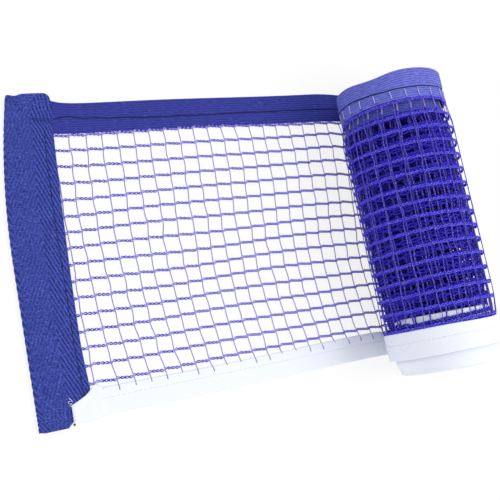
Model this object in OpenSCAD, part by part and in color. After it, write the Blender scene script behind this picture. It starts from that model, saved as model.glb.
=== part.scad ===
// Table tennis net, partly unrolled on a table.
//
// The net is a square mesh of knitted cords and cross threads, with a blue hem
// tape along its bottom edge, a white tape along its top edge and a woven
// sleeve at each end that slips over a net post. One end lies flat and the rest
// is wound into a roll round the other sleeve.
//
// X runs along the net towards the roll, Y across it towards the blue hem, and
// Z up from the table. Across the net every size is counted from the first
// cord, which lies beside the blue hem. Through the net every size is counted
// from its back face, which is down on the table and outward on the roll.

/* [Mesh] */
// Pitch of the square mesh
cell = 8; // [6:0.5:10]
// Number of lengthwise cords
cord_count = 16; // [10:1:20]
// Width of a lengthwise cord
cord_w = 1.3; // [0.8:0.1:1.8]
// Thickness of a lengthwise cord
cord_t = 1; // [0.6:0.1:1.4]
// Width of a cross thread
thread_w = 0.7; // [0.4:0.1:1]
// Thickness of a cross thread
thread_t = 0.4; // [0.3:0.05:0.6]

/* [Blue hem tape] */
// Width of the hem tape
hem_w = 15.7; // [10:0.1:24]
// Distance from the hem's outer edge to its seam
hem_seam_in = 8.5; // [4:0.5:9]

/* [White top tape] */
// Width of the white tape
top_w = 12.5; // [8:0.5:20]
// Distance from the last cord to the white tape
top_gap = 3.5; // [1:0.5:5]
// Distance from the white tape's inner edge to its seam
top_seam_in = 4.5; // [4:0.5:6]
// Length of the white tape's end that laps over the sleeve
top_flap = 10; // [4:0.5:14]

/* [End sleeves] */
// Width of a sleeve laid flat
sleeve_w = 24; // [20:0.5:40]
// Length of a sleeve
sleeve_len = 159; // [120:1:220]
// Thickness of the sleeve's cloth
sleeve_wall = 0.8; // [0.5:0.1:1.2]
// How far the sleeve reaches past the hem's outer edge
sleeve_over = 4.7; // [0:0.1:10]
// How far the sleeve's front layer covers the end of the net
sleeve_lap = 4.5; // [4:0.5:8]
// Width of the band where the sleeve's two layers are sewn together
sleeve_band = 1.5; // [1:0.1:3]
// Angle by which the flat sleeve leans away from the net
sleeve_lean = 1.4; // [0:0.1:3]

/* [Seams] */
// Width of a seam's thread
stitch_w = 0.5; // [0.3:0.1:0.8]
// Thickness of a seam's thread
stitch_t = 0.2; // [0.1:0.05:0.3]
// Distance from a sleeve's end to the seam of its hem
end_seam_in = 4.5; // [3:0.5:8]

/* [Roll] */
// Length of net that lies flat, from the first cross thread to the roll's axis
flat_len = 178.5; // [120:0.5:400]
// Radius of the roll
roll_r = 29.2; // [20:0.2:40]
// Smallest radius of the net in the middle of the roll
core_r = 8; // [7:0.1:12]
// Space between two turns of the roll
turn_gap = 0.18; // [0.1:0.02:0.6]
// Extra space inside the outermost turn, which is loose
slack = 1; // [0:0.1:2]
// Pitch of the cords on the roll, where they close up a little
roll_cell = 7.55; // [6:0.05:10]
// How far the outermost turn sits back from the flat net at the hem
outer_shift = 10.3; // [0:0.1:14]
// How far the inner turns stand out past the outermost one at the white tape
core_shift = 8.5; // [0:0.1:12]

/* [Hidden] */
$fn = 64;

hem_blue = "#3a3f9e";
twill_blue = "#2f3f96";
mesh_violet = "#4a3fc0";
thread_violet = "#8078c8";
tape_white = "#eef3fa";
seam_navy = "#1c2468";
seam_sky = "#6f86d8";
seam_white = "#ffffff";

// Clearance between two layers that lie on each other
fit = 0.03;
// Clearance between an end and what it points at
end_gap = 0.3;
// Thickness of the net, which the tapes share
net_t = thread_t + fit + cord_t;
// Depth from the back at which the cords lie, in front of the cross threads
cord_back = thread_t + fit;
// Growth of the roll's radius per turn
pitch = net_t + turn_gap;

// Places across the net, from the first cord at 0
last_row = cord_count - 1;
hem_inner = cord_w / 2 + fit;
hem_outer = hem_inner + hem_w;
hem_seam = hem_outer - hem_seam_in;
thread_in_hem = hem_seam - stitch_w;
// The white tape is placed from the last cord, downwards
tape_inner = top_gap;
tape_outer = tape_inner + top_w;
tape_seam = tape_inner + top_seam_in;
thread_in_tape = tape_seam - stitch_w;

// The flat sleeve, from its corner beside the hem
edge_top = 1.5;
sleeve_top = hem_outer + sleeve_over;
sleeve_front_z = net_t + 2 * fit;
sleeve_t = sleeve_front_z + sleeve_wall;
function sleeve_edge(y) = edge_top - (sleeve_top - y) * tan(sleeve_lean);
// Where the end of the net stops, under the sleeve's front layer
function net_start(y) = sleeve_edge(y) - sleeve_lap / cos(sleeve_lean) + end_gap;

// Half turns of the roll. The even ones go up its right side and the odd ones
// come down its left side, each half a pitch smaller than the one before, so
// that the half rings meet end to end with their centres on two heights. The
// net moves sideways over the first three, and the inner turns are aligned.
half_turns = floor((roll_r - slack - core_r) / (pitch / 2)) + 1;
moving_turns = 3;
function turn_r(k) = roll_r - k * pitch / 2 - (k >= 2 ? slack : 0);
function turn_z(k) = roll_r + (k % 2) * pitch / 2 - (k >= 2 ? slack : 0);
function odd(k) = k % 2 == 1;

// Place across the net of cord j: flat, on the outermost turn and inside
function flat_y(j) = -j * cell;
function outer_y(j) = -outer_shift - j * roll_cell;
function core_y(j) = outer_y(j) - core_shift;
// The same at the low and at the high end of half turn k
function low_y(j, k) = k == 0 ? flat_y(j) : k <= 2 ? outer_y(j) : core_y(j);
function high_y(j, k) = k <= 1 ? outer_y(j) : core_y(j);

inner_sleeve_r = turn_r(half_turns - 1) - net_t - turn_gap;
// Where the white tape comes down from the sleeve's corner to the table
flap_foot = sleeve_edge(flat_y(last_row) - tape_inner) + 2 * sleeve_t;

// Half turn and angle from its start of the point at length s along the roll
function on_roll(s, k = 0) =
    s <= PI * turn_r(k) ? [k, s / turn_r(k) * 180 / PI] : on_roll(s - PI * turn_r(k), k + 1);
roll_len = PI * (half_turns * roll_r - pitch / 2 * half_turns * (half_turns - 1) / 2
    - slack * (half_turns - 2));
flat_threads = floor((flat_len - thread_w) / cell) + 1;
last_thread = floor((flat_len + roll_len - thread_w) / cell);

// Box of the whole net, which puts the origin at the middle of its underside
low_x = edge_top - sleeve_w * cos(sleeve_lean) - sleeve_len * sin(sleeve_lean);
high_x = flat_len + roll_r;
near_y = min(core_y(last_row) - tape_outer, sleeve_top - sleeve_len * cos(sleeve_lean));
far_y = sleeve_top + sleeve_w * sin(sleeve_lean);

module placed() {
    translate([-(low_x + high_x) / 2, -(near_y + far_y) / 2, 0]) children();
}

// Sections across the net, as [depth from the back, distance from a cord]
function cord_section() = [
    [cord_back, -cord_w / 2], [net_t, -cord_w / 2],
    [net_t, cord_w / 2], [cord_back, cord_w / 2]
];
// A tape that is rebated at its back for the ends of the cross threads, with a
// groove for its seam's thread in both faces. Its inner edge is at a, its outer
// edge at b, its threads end at c and its seam is at s, with a < c < s < b.
function tape_section(a, b, c, s) = [
    [cord_back, a], [cord_back, c + fit], [0, c + fit],
    [0, s - stitch_w / 2], [stitch_t, s - stitch_w / 2],
    [stitch_t, s + stitch_w / 2], [0, s + stitch_w / 2],
    [0, b], [net_t, b],
    [net_t, s + stitch_w / 2], [net_t - stitch_t, s + stitch_w / 2],
    [net_t - stitch_t, s - stitch_w / 2], [net_t, s - stitch_w / 2],
    [net_t, a]
];
function hem_section() = tape_section(hem_inner, hem_outer, thread_in_hem, hem_seam);
function top_section() = [
    for (p = tape_section(tape_inner, tape_outer, thread_in_tape, tape_seam)) [p[0], -p[1]]
];
// The same for the inner turns, as plain bands: [back, front, near, far]
function cord_bands() = [[cord_back, net_t, -cord_w / 2, cord_w / 2]];
function hem_bands() = [
    [cord_back, net_t, hem_inner, hem_outer],
    [0, cord_back, thread_in_hem + fit, hem_outer]
];
function top_bands() = [
    [cord_back, net_t, -tape_outer, -tape_inner],
    [0, cord_back, -tape_outer, -thread_in_tape - fit]
];
// A seam's thread at place s, on the front or on the back face
function seam_section(s, front) =
    let (z = front ? net_t - stitch_t + fit : 0, w = stitch_w / 2 - fit)
    [[z, s - w], [z + stitch_t - fit, s - w], [z + stitch_t - fit, s + w], [z, s + w]];

// A section drawn out along the flat net, from x = start, beside cord j
module flat_run(section, j, start) {
    translate([start, flat_y(j), 0])
        rotate([90, 0, 90])
            linear_extrude(flat_len - start)
                polygon([for (p = section) [p[1], p[0]]]);
}

// A section drawn round half turn k beside cord j. Where the net moves sideways
// the half ring is sheared, so that the middle of its thickness still meets its
// neighbours.
module half_turn(section, j, k) {
    r = turn_r(k);
    low = low_y(j, k);
    high = high_y(j, k);
    translate([flat_len, 0, turn_z(k)])
        multmatrix([
            [1, 0, 0, 0],
            [0, 1, (high - low) / (2 * r - net_t), (high + low) / 2],
            [0, 0, 1, 0],
            [0, 0, 0, 1]
        ])
        rotate([90, 0, 0])
        rotate([0, 0, odd(k) ? 90 : -90])
        rotate_extrude(angle = 180)
        polygon([for (p = section) [r - p[0], -p[1]]]);
}

// A spiral band across the inner turns beside cord j, given as
// [back, front, near, far]: two depths and two distances from the cord
module inner_band(band, j) {
    translate([flat_len, core_y(j) + band[3], 0])
        rotate([90, 0, 0])
            linear_extrude(band[3] - band[2])
                for (k = [moving_turns : half_turns - 1])
                    translate([0, turn_z(k)])
                        difference() {
                            circle(turn_r(k) - band[0]);
                            circle(turn_r(k) - band[1]);
                            translate([odd(k) ? 0 : -2 * roll_r, -2 * roll_r])
                                square([2 * roll_r, 4 * roll_r]);
                        }
}

// A section drawn round the outermost turn and on to the first of the aligned ones
module outer_run(section, j) {
    for (k = [0 : moving_turns - 1]) half_turn(section, j, k);
}

module inner_run(bands, j) {
    for (band = bands) inner_band(band, j);
}

// Cross section of a sleeve laid flat: a cloth folded along its outer edge,
// whose front layer laps over the net. x runs back from the edge on the net.
module sleeve_section() {
    fold_r = sleeve_t / 2;
    back_end = sleeve_lap;
    difference() {
        union() {
            translate([-sleeve_w + fold_r, fold_r]) circle(fold_r);
            translate([-sleeve_w + fold_r, 0]) square([sleeve_w - fold_r - back_end, sleeve_t]);
            translate([-back_end - fit, sleeve_front_z]) square([back_end + fit, sleeve_wall]);
        }
        translate([-sleeve_w + fold_r, fold_r]) circle(fold_r - sleeve_wall);
        translate([-sleeve_w + fold_r, sleeve_wall])
            square([sleeve_w - fold_r - back_end - sleeve_band, sleeve_t - 2 * sleeve_wall]);
    }
}

// Puts a shape drawn with its corner at the origin where the flat sleeve lies
module on_sleeve() {
    translate([edge_top, sleeve_top, 0]) rotate([0, 0, -sleeve_lean]) children();
}

module outer_sleeve() {
    color(twill_blue)
    placed() on_sleeve()
        rotate([90, 0, 0]) linear_extrude(sleeve_len) sleeve_section();
}

// The long seam beside the sleeve's edge, through its front layer and the net.
// It stops where the end of the white tape covers it.
module outer_sleeve_seam() {
    long = sleeve_top - end_seam_in - flat_y(last_row) + tape_inner - end_gap;
    color(seam_navy)
    placed() on_sleeve()
        translate([-sleeve_lap + sleeve_band, -end_seam_in - long, sleeve_t])
            cube([stitch_w, long, stitch_t]);
}

// The seams that hold the turned-in ends of the sleeve. The one beside the white
// tape stops at the tape's end.
module outer_sleeve_end_seams() {
    far_margin = sleeve_lap;
    near_margin = top_flap + sleeve_t;
    left = -sleeve_w + sleeve_t;
    color(seam_sky)
    placed() on_sleeve() {
        translate([left, -end_seam_in - stitch_w, sleeve_t])
            cube([-far_margin - left, stitch_w, stitch_t]);
        translate([left, -sleeve_len + end_seam_in, sleeve_t])
            cube([-near_margin - left, stitch_w, stitch_t]);
    }
}

// Puts a shape that stands on the origin round Z at the roll's middle, lying
// across the net with its foot at the outer edge of the innermost white tape
module in_core() {
    translate([flat_len, core_y(last_row) - tape_outer, turn_z(half_turns - 1)])
        rotate([-90, 0, 0]) children();
}

// The other sleeve, coiled in the middle of the roll with the net wound round it
module inner_sleeve() {
    mid_r = inner_sleeve_r - sleeve_t / 2;
    angle = sleeve_w / mid_r * 180 / PI;
    closed = sleeve_wall / mid_r * 180 / PI;
    color(twill_blue)
    placed() in_core()
        difference() {
            rotate_extrude(angle = angle)
                translate([inner_sleeve_r - sleeve_t, 0]) square([sleeve_t, sleeve_len]);
            rotate([0, 0, closed]) rotate_extrude(angle = angle - 2 * closed)
                translate([inner_sleeve_r - sleeve_t + sleeve_wall, -end_gap])
                    square([sleeve_t - 2 * sleeve_wall, sleeve_len + 2 * end_gap]);
        }
}

// The seam along the coiled sleeve, on its inner face
module inner_sleeve_seam() {
    r = inner_sleeve_r - sleeve_t;
    angle = sleeve_lap / r * 180 / PI;
    color(seam_navy)
    placed() in_core()
        rotate([0, 0, angle])
            rotate_extrude(angle = stitch_w / r * 180 / PI)
                translate([r - stitch_t, end_seam_in])
                    square([stitch_t, sleeve_len - 2 * end_seam_in]);
}

module flat_cords() {
    color(mesh_violet)
    placed()
        for (j = [0 : last_row])
            flat_run(cord_section(), j, net_start(flat_y(j) + cord_w / 2));
}

module outer_turn_cords() {
    color(mesh_violet)
    placed()
        for (j = [0 : last_row]) outer_run(cord_section(), j);
}

module inner_turns_cords() {
    color(mesh_violet)
    placed()
        for (j = [0 : last_row]) inner_run(cord_bands(), j);
}

// A cross thread from the blue hem to the white tape, standing on x = 0, where
// the net's first cord is at y = first and its last one at y = last
module cross_thread(first, last) {
    near = last - thread_in_tape + end_gap;
    far = first + thread_in_hem - end_gap;
    translate([0, near, -thread_w / 2]) cube([thread_t, far - near, thread_w]);
}

module flat_cross_threads() {
    color(thread_violet)
    placed()
        for (i = [0 : flat_threads - 1])
            translate([i * cell, 0, 0])
                rotate([0, -90, 0]) cross_thread(flat_y(0), flat_y(last_row));
}

module rolled_cross_threads() {
    color(thread_violet)
    placed()
        for (i = [flat_threads : last_thread]) {
            spot = on_roll(i * cell - flat_len);
            k = spot[0];
            phi = spot[1] + (odd(k) ? 90 : -90);
            high = (1 + sin(phi)) / 2;
            translate([flat_len, 0, turn_z(k)])
                rotate([0, -phi, 0])
                    translate([turn_r(k) - thread_t, 0, 0])
                        cross_thread(
                            low_y(0, k) * (1 - high) + high_y(0, k) * high,
                            low_y(last_row, k) * (1 - high) + high_y(last_row, k) * high
                        );
        }
}

module flat_bottom_hem() {
    color(hem_blue) placed() flat_run(hem_section(), 0, net_start(hem_outer));
}

module outer_turn_bottom_hem() {
    color(hem_blue) placed() outer_run(hem_section(), 0);
}

module inner_turns_bottom_hem() {
    color(hem_blue) placed() inner_run(hem_bands(), 0);
}

module flat_hem_seam() {
    color(seam_navy) placed() flat_run(seam_section(hem_seam, true), 0, net_start(hem_outer));
}

// A seam's thread lies in the back's groove on the outer turn. Further in, where
// the turns press on each other, it is pulled into the cloth.
module outer_turn_hem_seam() {
    color(seam_navy) placed() outer_run(seam_section(hem_seam, false), 0);
}

// The white tape's end climbs over the sleeve's corner and lies on it
module flat_top_tape() {
    lift = sleeve_t + fit;
    edge = sleeve_edge(flat_y(last_row) - tape_inner);
    foot = flap_foot;
    color(tape_white)
    placed() {
        flat_run(top_section(), last_row, foot);
        translate([0, flat_y(last_row) - tape_inner, 0])
            rotate([90, 0, 0]) linear_extrude(top_w) polygon([
                [edge - top_flap, lift], [edge + end_gap, lift], [foot, 0],
                [foot, net_t], [edge + end_gap, lift + net_t], [edge - top_flap, lift + net_t]
            ]);
    }
}

module outer_turn_top_tape() {
    color(tape_white) placed() outer_run(top_section(), last_row);
}

module inner_turns_top_tape() {
    color(tape_white) placed() inner_run(top_bands(), last_row);
}

module flat_tape_seam() {
    color(seam_white) placed() flat_run(seam_section(-tape_seam, true), last_row, flap_foot);
}

module outer_turn_tape_seam() {
    color(seam_white) placed() outer_run(seam_section(-tape_seam, false), last_row);
}

outer_sleeve();
outer_sleeve_seam();
outer_sleeve_end_seams();
inner_sleeve();
inner_sleeve_seam();
flat_cords();
outer_turn_cords();
inner_turns_cords();
flat_cross_threads();
rolled_cross_threads();
flat_bottom_hem();
outer_turn_bottom_hem();
inner_turns_bottom_hem();
flat_hem_seam();
outer_turn_hem_seam();
flat_top_tape();
outer_turn_top_tape();
inner_turns_top_tape();
flat_tape_seam();
outer_turn_tape_seam();
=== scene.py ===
"""Table tennis net, partly unrolled on a table, built round its CAD frame.

The net is a mesh of knitted cords and cross threads between a blue hem tape and a
white tape, with a woven sleeve at each end. Every point of the net is given by
three lengths: along the net from its first cross thread, across it from its first
cord towards the blue hem, and depth from its back face, which lies on the table.
One function, Lay.point, turns these into a place in the frame. All lengths are in
metres.
"""

import math

import bmesh
import bpy
import numpy as np
from mathutils import Matrix, Vector


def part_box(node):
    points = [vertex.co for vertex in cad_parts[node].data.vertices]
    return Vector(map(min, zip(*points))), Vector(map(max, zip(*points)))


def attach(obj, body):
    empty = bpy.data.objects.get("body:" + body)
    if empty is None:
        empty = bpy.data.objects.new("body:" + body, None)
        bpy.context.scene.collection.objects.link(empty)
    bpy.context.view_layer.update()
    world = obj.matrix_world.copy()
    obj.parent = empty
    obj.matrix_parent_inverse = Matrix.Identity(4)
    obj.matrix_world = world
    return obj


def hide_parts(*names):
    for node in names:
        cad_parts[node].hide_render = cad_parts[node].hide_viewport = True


bl_info = {
    "name": "Table tennis net",
    "version": (1, 0, 0),
    "blender": (4, 5, 0),
    "location": "View3D > Sidebar > Net",
    "description": "Builds a partly unrolled table tennis net round its CAD frame",
    "category": "Object",
}

MM = 0.001
BODY = "root"

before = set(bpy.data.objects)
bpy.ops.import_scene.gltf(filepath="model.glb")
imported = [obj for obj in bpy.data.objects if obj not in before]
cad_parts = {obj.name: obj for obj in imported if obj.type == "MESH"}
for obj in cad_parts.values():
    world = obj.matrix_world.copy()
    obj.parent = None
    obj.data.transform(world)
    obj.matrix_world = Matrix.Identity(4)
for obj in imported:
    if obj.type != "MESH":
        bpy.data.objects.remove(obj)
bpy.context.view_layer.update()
CORDS_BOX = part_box("flat_cords")


def linear(code):
    """An sRGB hex colour as linear red, green and blue, and 1."""
    parts = [int(code[i : i + 2], 16) / 255 for i in (1, 3, 5)]
    return (*(c / 12.92 if c <= 0.04045 else ((c + 0.055) / 1.055) ** 2.4 for c in parts), 1)


def length(name, default, description):
    """A length that a user may change."""
    return bpy.props.FloatProperty(
        name=name, description=description, default=default, min=0, unit="LENGTH", precision=5
    )


def colour(name, default, description):
    """A colour that a user may change."""
    return bpy.props.FloatVectorProperty(
        name=name, description=description, default=linear(default), subtype="COLOR", size=4, min=0, max=1
    )


class NetSizes(bpy.types.PropertyGroup):
    """Sizes of the net, as in its CAD source but for the pitch and shift of the inner turns."""

    cell: length("Mesh cell", 8 * MM, "Pitch of the square mesh")
    cord_count: bpy.props.IntProperty(
        name="Cords", description="Number of lengthwise cords", default=16, min=2
    )
    cord_width: length("Cord width", 1.3 * MM, "Width of a lengthwise cord")
    cord_thickness: length("Cord thickness", 1 * MM, "Thickness of a lengthwise cord")
    thread_thickness: length("Thread thickness", 0.4 * MM, "Thickness of a cross thread")
    layer_gap: length("Layer clearance", 0.03 * MM, "Space between two layers of the net")
    hem_width: length("Hem width", 15.7 * MM, "Width of the blue hem tape")
    hem_seam: length("Hem seam", 8.5 * MM, "From the hem's outer edge to its seam")
    tape_width: length("White tape width", 12.5 * MM, "Width of the white tape")
    tape_gap: length("White tape gap", 3.5 * MM, "From the last cord to the white tape")
    tape_seam: length("White tape seam", 4.5 * MM, "From the white tape's inner edge to its seam")
    tape_flap: length("White tape flap", 10 * MM, "How far the white tape laps over the sleeve")
    sleeve_width: length("Sleeve width", 24 * MM, "Width of a sleeve laid flat")
    sleeve_length: length("Sleeve length", 159 * MM, "Length of a sleeve")
    sleeve_wall: length("Sleeve cloth", 0.8 * MM, "Thickness of the sleeve's cloth")
    sleeve_lap: length("Sleeve lap", 4.5 * MM, "How far the sleeve's front covers the net's end")
    flat_length: length("Flat length", 178.5 * MM, "From the first cross thread to the roll's axis")
    roll_radius: length("Roll radius", 29.2 * MM, "Outside radius of the roll")
    core_radius: length("Core radius", 8 * MM, "Smallest radius of the net in the roll")
    turn_gap: length("Turn gap", 0.18 * MM, "Space between two turns of the roll")
    slack: length("Slack", 1 * MM, "Extra space inside the outermost turn")
    roll_cell: length("Roll cell", 7.55 * MM, "Pitch of the cords on the outermost turn")
    core_cell: length("Core cell", 7.7 * MM, "Pitch of the cords on the inner turns")
    outer_shift: length("Outer shift", 10.3 * MM, "Shift of the outermost turn at the hem")
    core_shift: length("Core shift", 6.2 * MM, "Further shift of the inner turns at the hem")


class NetColours(bpy.types.PropertyGroup):
    """Colours of the net's yarns and cloths."""

    cord: colour("Cord", "#5c51e0", "Knitted yarn of the flat net's cords")
    # cord_deep is painted shade at the yarn's knots, and cord_light a painted highlight where it holds a
    # cross thread, between its knots and on its loose fibres
    cord_deep: colour("Cord shade", "#382f9e", "The same yarn at its knots")
    cord_light: colour("Cord highlight", "#b0aaf2", "The same yarn where it holds a cross thread")
    # painted light: the outer turn is the flat cords' yarn, painted lighter and more violet for the light
    # that the roll's layers bounce, with a painted highlight on its loose fibres
    roll_cord: colour("Roll's cord", "#6a60ee", "Yarn of the roll's outer turn, tinted by its layers")
    roll_deep: colour("Roll's cord shade", "#3b31c4", "The same yarn between its loops")
    roll_light: colour("Roll's cord highlight", "#a39bf6", "Loose fibres of the same yarn")
    # painted shade: the turns inside the roll are the same yarn, painted darker in the shade of the turns
    # over them; beside the roll the flat cords take this tone as a painted shadow of the roll
    inside_cord: colour("Inner cord", "#4237d8", "Yarn of the turns inside the roll")
    inside_deep: colour("Inner cord shade", "#2a209c", "The same yarn between its loops")
    thread: colour("Cross thread", "#4e45c6", "Thin twisted thread across the net")
    thread_deep: colour("Cross thread shade", "#332a96", "The same thread between its plies")
    thread_light: colour("Cross thread highlight", "#cfcaf6", "The same thread over white and at its tips")
    # painted light: the same thread, painted lighter and more violet on the roll's outer turn
    roll_thread: colour("Roll's cross thread", "#5b52d8", "The same thread on the roll's outer turn")
    hem_front: colour("Hem front", "#30389c", "Front face of the hem tape")
    hem_back: colour("Hem back", "#6d74dc", "Back face of the hem tape, which shows on the roll")
    hem_fibre: colour("Hem fibre", "#a3a8ee", "Loose fibres on the hem tape's ribs")
    twill: colour("Twill", "#4756b4", "Raised yarns of the sleeve's twill")
    # twill_deep is painted shade in the furrows between the twill's ridges, and also the tone of its darker
    # patches
    twill_deep: colour("Twill furrow", "#1f2a74", "Furrows of the sleeve's twill")
    twill_fibre: colour("Twill fibre", "#7c89cf", "Loose fibres on the sleeve's twill")
    tape: colour("White tape", "#e9eef8", "Bleached yarn of the white tape")
    tape_cool: colour("White tape patches", "#e6ecf8", "Cooler patches of the white tape")
    navy_thread: colour("Navy thread", "#151a4e", "Sewing thread of the hem and the sleeve")
    sky_thread: colour("Sky thread", "#6d82d6", "Sewing thread of the sleeve's ends")
    white_thread: colour("White thread", "#f4f6fb", "Sewing thread of the white tape")
    floor: colour("Floor", "#f6f6f7", "Pale floor")


# ---------------- the net's lay


def smooth_step(x, low, high):
    """0 below low, 1 above high, and a smooth rise between."""
    t = np.clip((x - low) / (high - low), 0, 1)
    return t * t * (3 - 2 * t)


def bump(x, middle, width):
    """A smooth hump of height 1."""
    return np.exp(-(((x - middle) / width) ** 2))


def window(x, rise, fall):
    """1 between a smooth rise and a smooth fall, each given as (start, end)."""
    return smooth_step(x, *rise) * (1 - smooth_step(x, *fall))


def wander(u, v, seed):
    """Smooth unevenness between about -1 and 1 over two lengths counted in its own periods."""
    draw = np.random.default_rng(seed)
    total = 0
    for _ in range(5):
        wave = draw.uniform(0.6, 1.5) * u + draw.uniform(-1.3, 1.3) * v + draw.uniform(0, 6.28)
        total = total + np.sin(wave)
    return total / 3


WHITE = (1, 1, 1, 1)
# a place midway between two cross threads, in mesh cells, where a yarn gets no painted highlight and keeps
# its own tone
MID_CELL = 0.5
# the net stops this short of its last half turn's end, and its flat threads of the roll
STOP_SHORT = 0.7 * MM
# how far the turns stray from the even spiral
THIRD_TAPE_SHIFT = 16 * MM
BUNCH_SHIFT = 6.4 * MM
HEM_FLARE = 2.9 * MM
HEM_DENT = 1.8 * MM
DRIFT = 3.6 * MM
# how far they stand off their circles at the roll's right and left: the outer turn, the
# turns inside it, and once more each deeper turn
BULGE_RIGHT = 1.5 * MM
BULGE_LEFT = 2.4 * MM
SPREAD_RIGHT = 1.75 * MM
SPREAD_LEFT = 2.7 * MM
NEST_RIGHT = 0.6 * MM
NEST_LEFT = 0.95 * MM
# how far the second turn's white tape curls in at its edge
TAPE_CURL = 1.9 * MM
# fractions of its multiples fall evenly between 0 and 1
GOLDEN = 0.618


class Lay:
    """How the net lies: flat on the table, then wound into the roll.

    The roll is a spiral of half turns. The even ones go up its right side and the
    odd ones come down its left side, each half a pitch smaller than the last.
    """

    def __init__(self, sizes):
        self.sizes = s = sizes
        self.net = s.thread_thickness + s.layer_gap + s.cord_thickness
        self.last = (s.cord_count - 1) * s.cell
        self.axis_x = CORDS_BOX[1].x
        self.first_y = CORDS_BOX[1].y - s.cord_width / 2
        half_pitch = (self.net + s.turn_gap) / 2
        count = int((s.roll_radius - s.slack - s.core_radius) / half_pitch) + 1
        k = np.arange(count)
        slack = np.where(k >= 2, s.slack, 0)
        self.radii = s.roll_radius - k * half_pitch - slack
        self.heights = s.roll_radius + (k % 2) * half_pitch - slack
        self.starts = s.flat_length + np.concatenate([[0], np.cumsum(math.pi * self.radii)])
        self.end = self.starts[-1] - STOP_SHORT
        # where the flat cords end and those of the outer turn begin
        self.cords_change = s.flat_length + 2 * MM
        self.inner_start = self.starts[2]
        self.hem_inner = s.cord_width / 2 + s.layer_gap
        self.hem_outer = self.hem_inner + s.hem_width
        self.hem_seam = self.hem_outer - s.hem_seam
        self.tape_inner = -self.last - s.tape_gap
        self.tape_outer = self.tape_inner - s.tape_width
        self.tape_seam = self.tape_inner - s.tape_seam

    def wound(self, along, before, after):
        """0 on the flat net and 1 on the roll, with a rise round the start of the roll."""
        start = self.sizes.flat_length
        return smooth_step(along, start - before, start + after)

    def within(self, along, before, after):
        """1 inside the outer turn, with a rise round the start of the second turn."""
        return smooth_step(along, self.inner_start - before, self.inner_start + after)

    def spread(self, across, cell):
        """Place across the net with its cords closed up to another pitch."""
        inside = np.clip(across, -self.last, 0)
        return inside * cell / self.sizes.cell + across - inside

    def sideways(self, along, across):
        """Y of a point of the net, which moves sideways as it goes up into the roll."""
        s = self.sizes
        flat = self.spread(across, s.cell)
        outer = self.spread(across, s.roll_cell) - s.outer_shift
        core = self.spread(across, s.core_cell) - s.outer_shift - s.core_shift
        inside = self.within(along, 25 * MM, 40 * MM)
        y = flat + (outer - flat) * self.wound(along, 30 * MM, 40 * MM) + (core - outer) * inside
        y = y + inside * 0.35 * MM * wander(along / (31 * MM), 0 * y, 5)
        # the third turn's white tape shows between the last cords of the turns round it
        tape_side = smooth_step(-across, self.last - 50 * MM, self.last + 3 * MM)
        y = y + THIRD_TAPE_SHIFT * self.askew(along) * tape_side
        y = y + BUNCH_SHIFT * self.bunched(along, across) * bump(across, -self.last, 6 * MM)
        # the outer turn's hem stands out at the right and is drawn in at the left
        k, phi, rolled = self.angle(along)
        flare = HEM_FLARE * bump(phi, 0.34, 0.28) * (k == 0) - HEM_DENT * bump(phi, 2.5, 0.4) * (k == 1)
        return y + flare * rolled * smooth_step(across, 0, self.hem_outer)

    def angle(self, along):
        """Half turn, angle and whether a length along the net is on the roll.

        The angle is 0 at the roll's right, half of pi at its top and pi at its left.
        """
        k = np.clip(np.searchsorted(self.starts, along, side="right") - 1, 0, len(self.radii) - 1)
        turned = (along - self.starts[k]) / self.radii[k]
        return k, turned + np.where(k % 2 == 1, 0.5, -0.5) * math.pi, along > self.sizes.flat_length

    def askew(self, along):
        """Where the third turn was wound askew, over the roll's top."""
        first, second = self.starts[4], self.starts[5]
        return window(along, (first - 10 * MM, first + 35 * MM), (second + 35 * MM, second + 80 * MM))

    def bunched(self, along, across):
        """Where the second turn's last cords bunch up over the third turn's white tape."""
        first, second = self.starts[2], self.starts[3]
        here = window(along, (first + 10 * MM, first + 60 * MM), (second + 20 * MM, second + 80 * MM))
        return here * smooth_step(self.last + across, -3 * MM, -0.5 * MM)

    def looseness(self, along, across):
        """How far a turn stands off its circle: between the two tapes, and at one tape's edge."""
        s = self.sizes
        k, phi, rolled = self.angle(along)
        from_tape = self.last + across
        between = smooth_step(from_tape, -2 * MM, 12 * MM)
        below_hem = smooth_step(-across, 1 * MM, 14 * MM)
        right, left = bump(phi, 0.35, 0.75), bump(phi, 3.3, 0.7)
        outer_right = BULGE_RIGHT * right * (k == 0) * between
        tape_bulge = 0.8 * MM * bump(across, self.tape_inner, 12 * MM)
        outer_left = (BULGE_LEFT + tape_bulge) * left * (k == 1)
        # the turns below spread into the slack under it, and their cords nest at the sides
        deeper = np.clip(1 - ((k - 2) / 22) ** 2, 0, 1) * (k >= 2)
        nested = (NEST_RIGHT * right + NEST_LEFT * left) * np.clip(k // 2 - 1, 0, 4)
        reach = np.maximum(between, 0.4 * self.askew(along))
        reach = np.maximum(reach, 0.85 * self.bunched(along, across))
        spread = (0.55 + 0.35 * np.sin(phi)) * s.slack + SPREAD_RIGHT * right + SPREAD_LEFT * left
        below = (spread + nested) * deeper * reach * smooth_step(-across, -7 * MM, 6 * MM)
        below = below * self.within(along, 20 * MM, 20 * MM)
        # the second turn's white tape bulges on the left and curls in at its edge
        tape = smooth_step(-from_tape, 0, s.tape_gap)
        edge = smooth_step(-from_tape, s.tape_gap + 5 * MM, s.tape_gap + s.tape_width)
        curl = TAPE_CURL * bump(phi, 3.2, 0.6) * (k == 3) * tape * (1 - 1.8 * edge)
        return rolled * (below_hem * (outer_right + outer_left) + below + curl)

    def drift(self, along, across):
        """How far the cords of each inner turn lie beside those of the turn round it."""
        turn_starts = self.starts[2::2]
        turn = np.interp(along, turn_starts, np.arange(len(turn_starts)))
        row = np.round(-across / self.sizes.cell)

        def stray(number):
            return 2 * np.modf(GOLDEN * number + 0.86)[0] - 1 + 0.4 * wander(number * 1.7, row * 1.3, 17)

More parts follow.
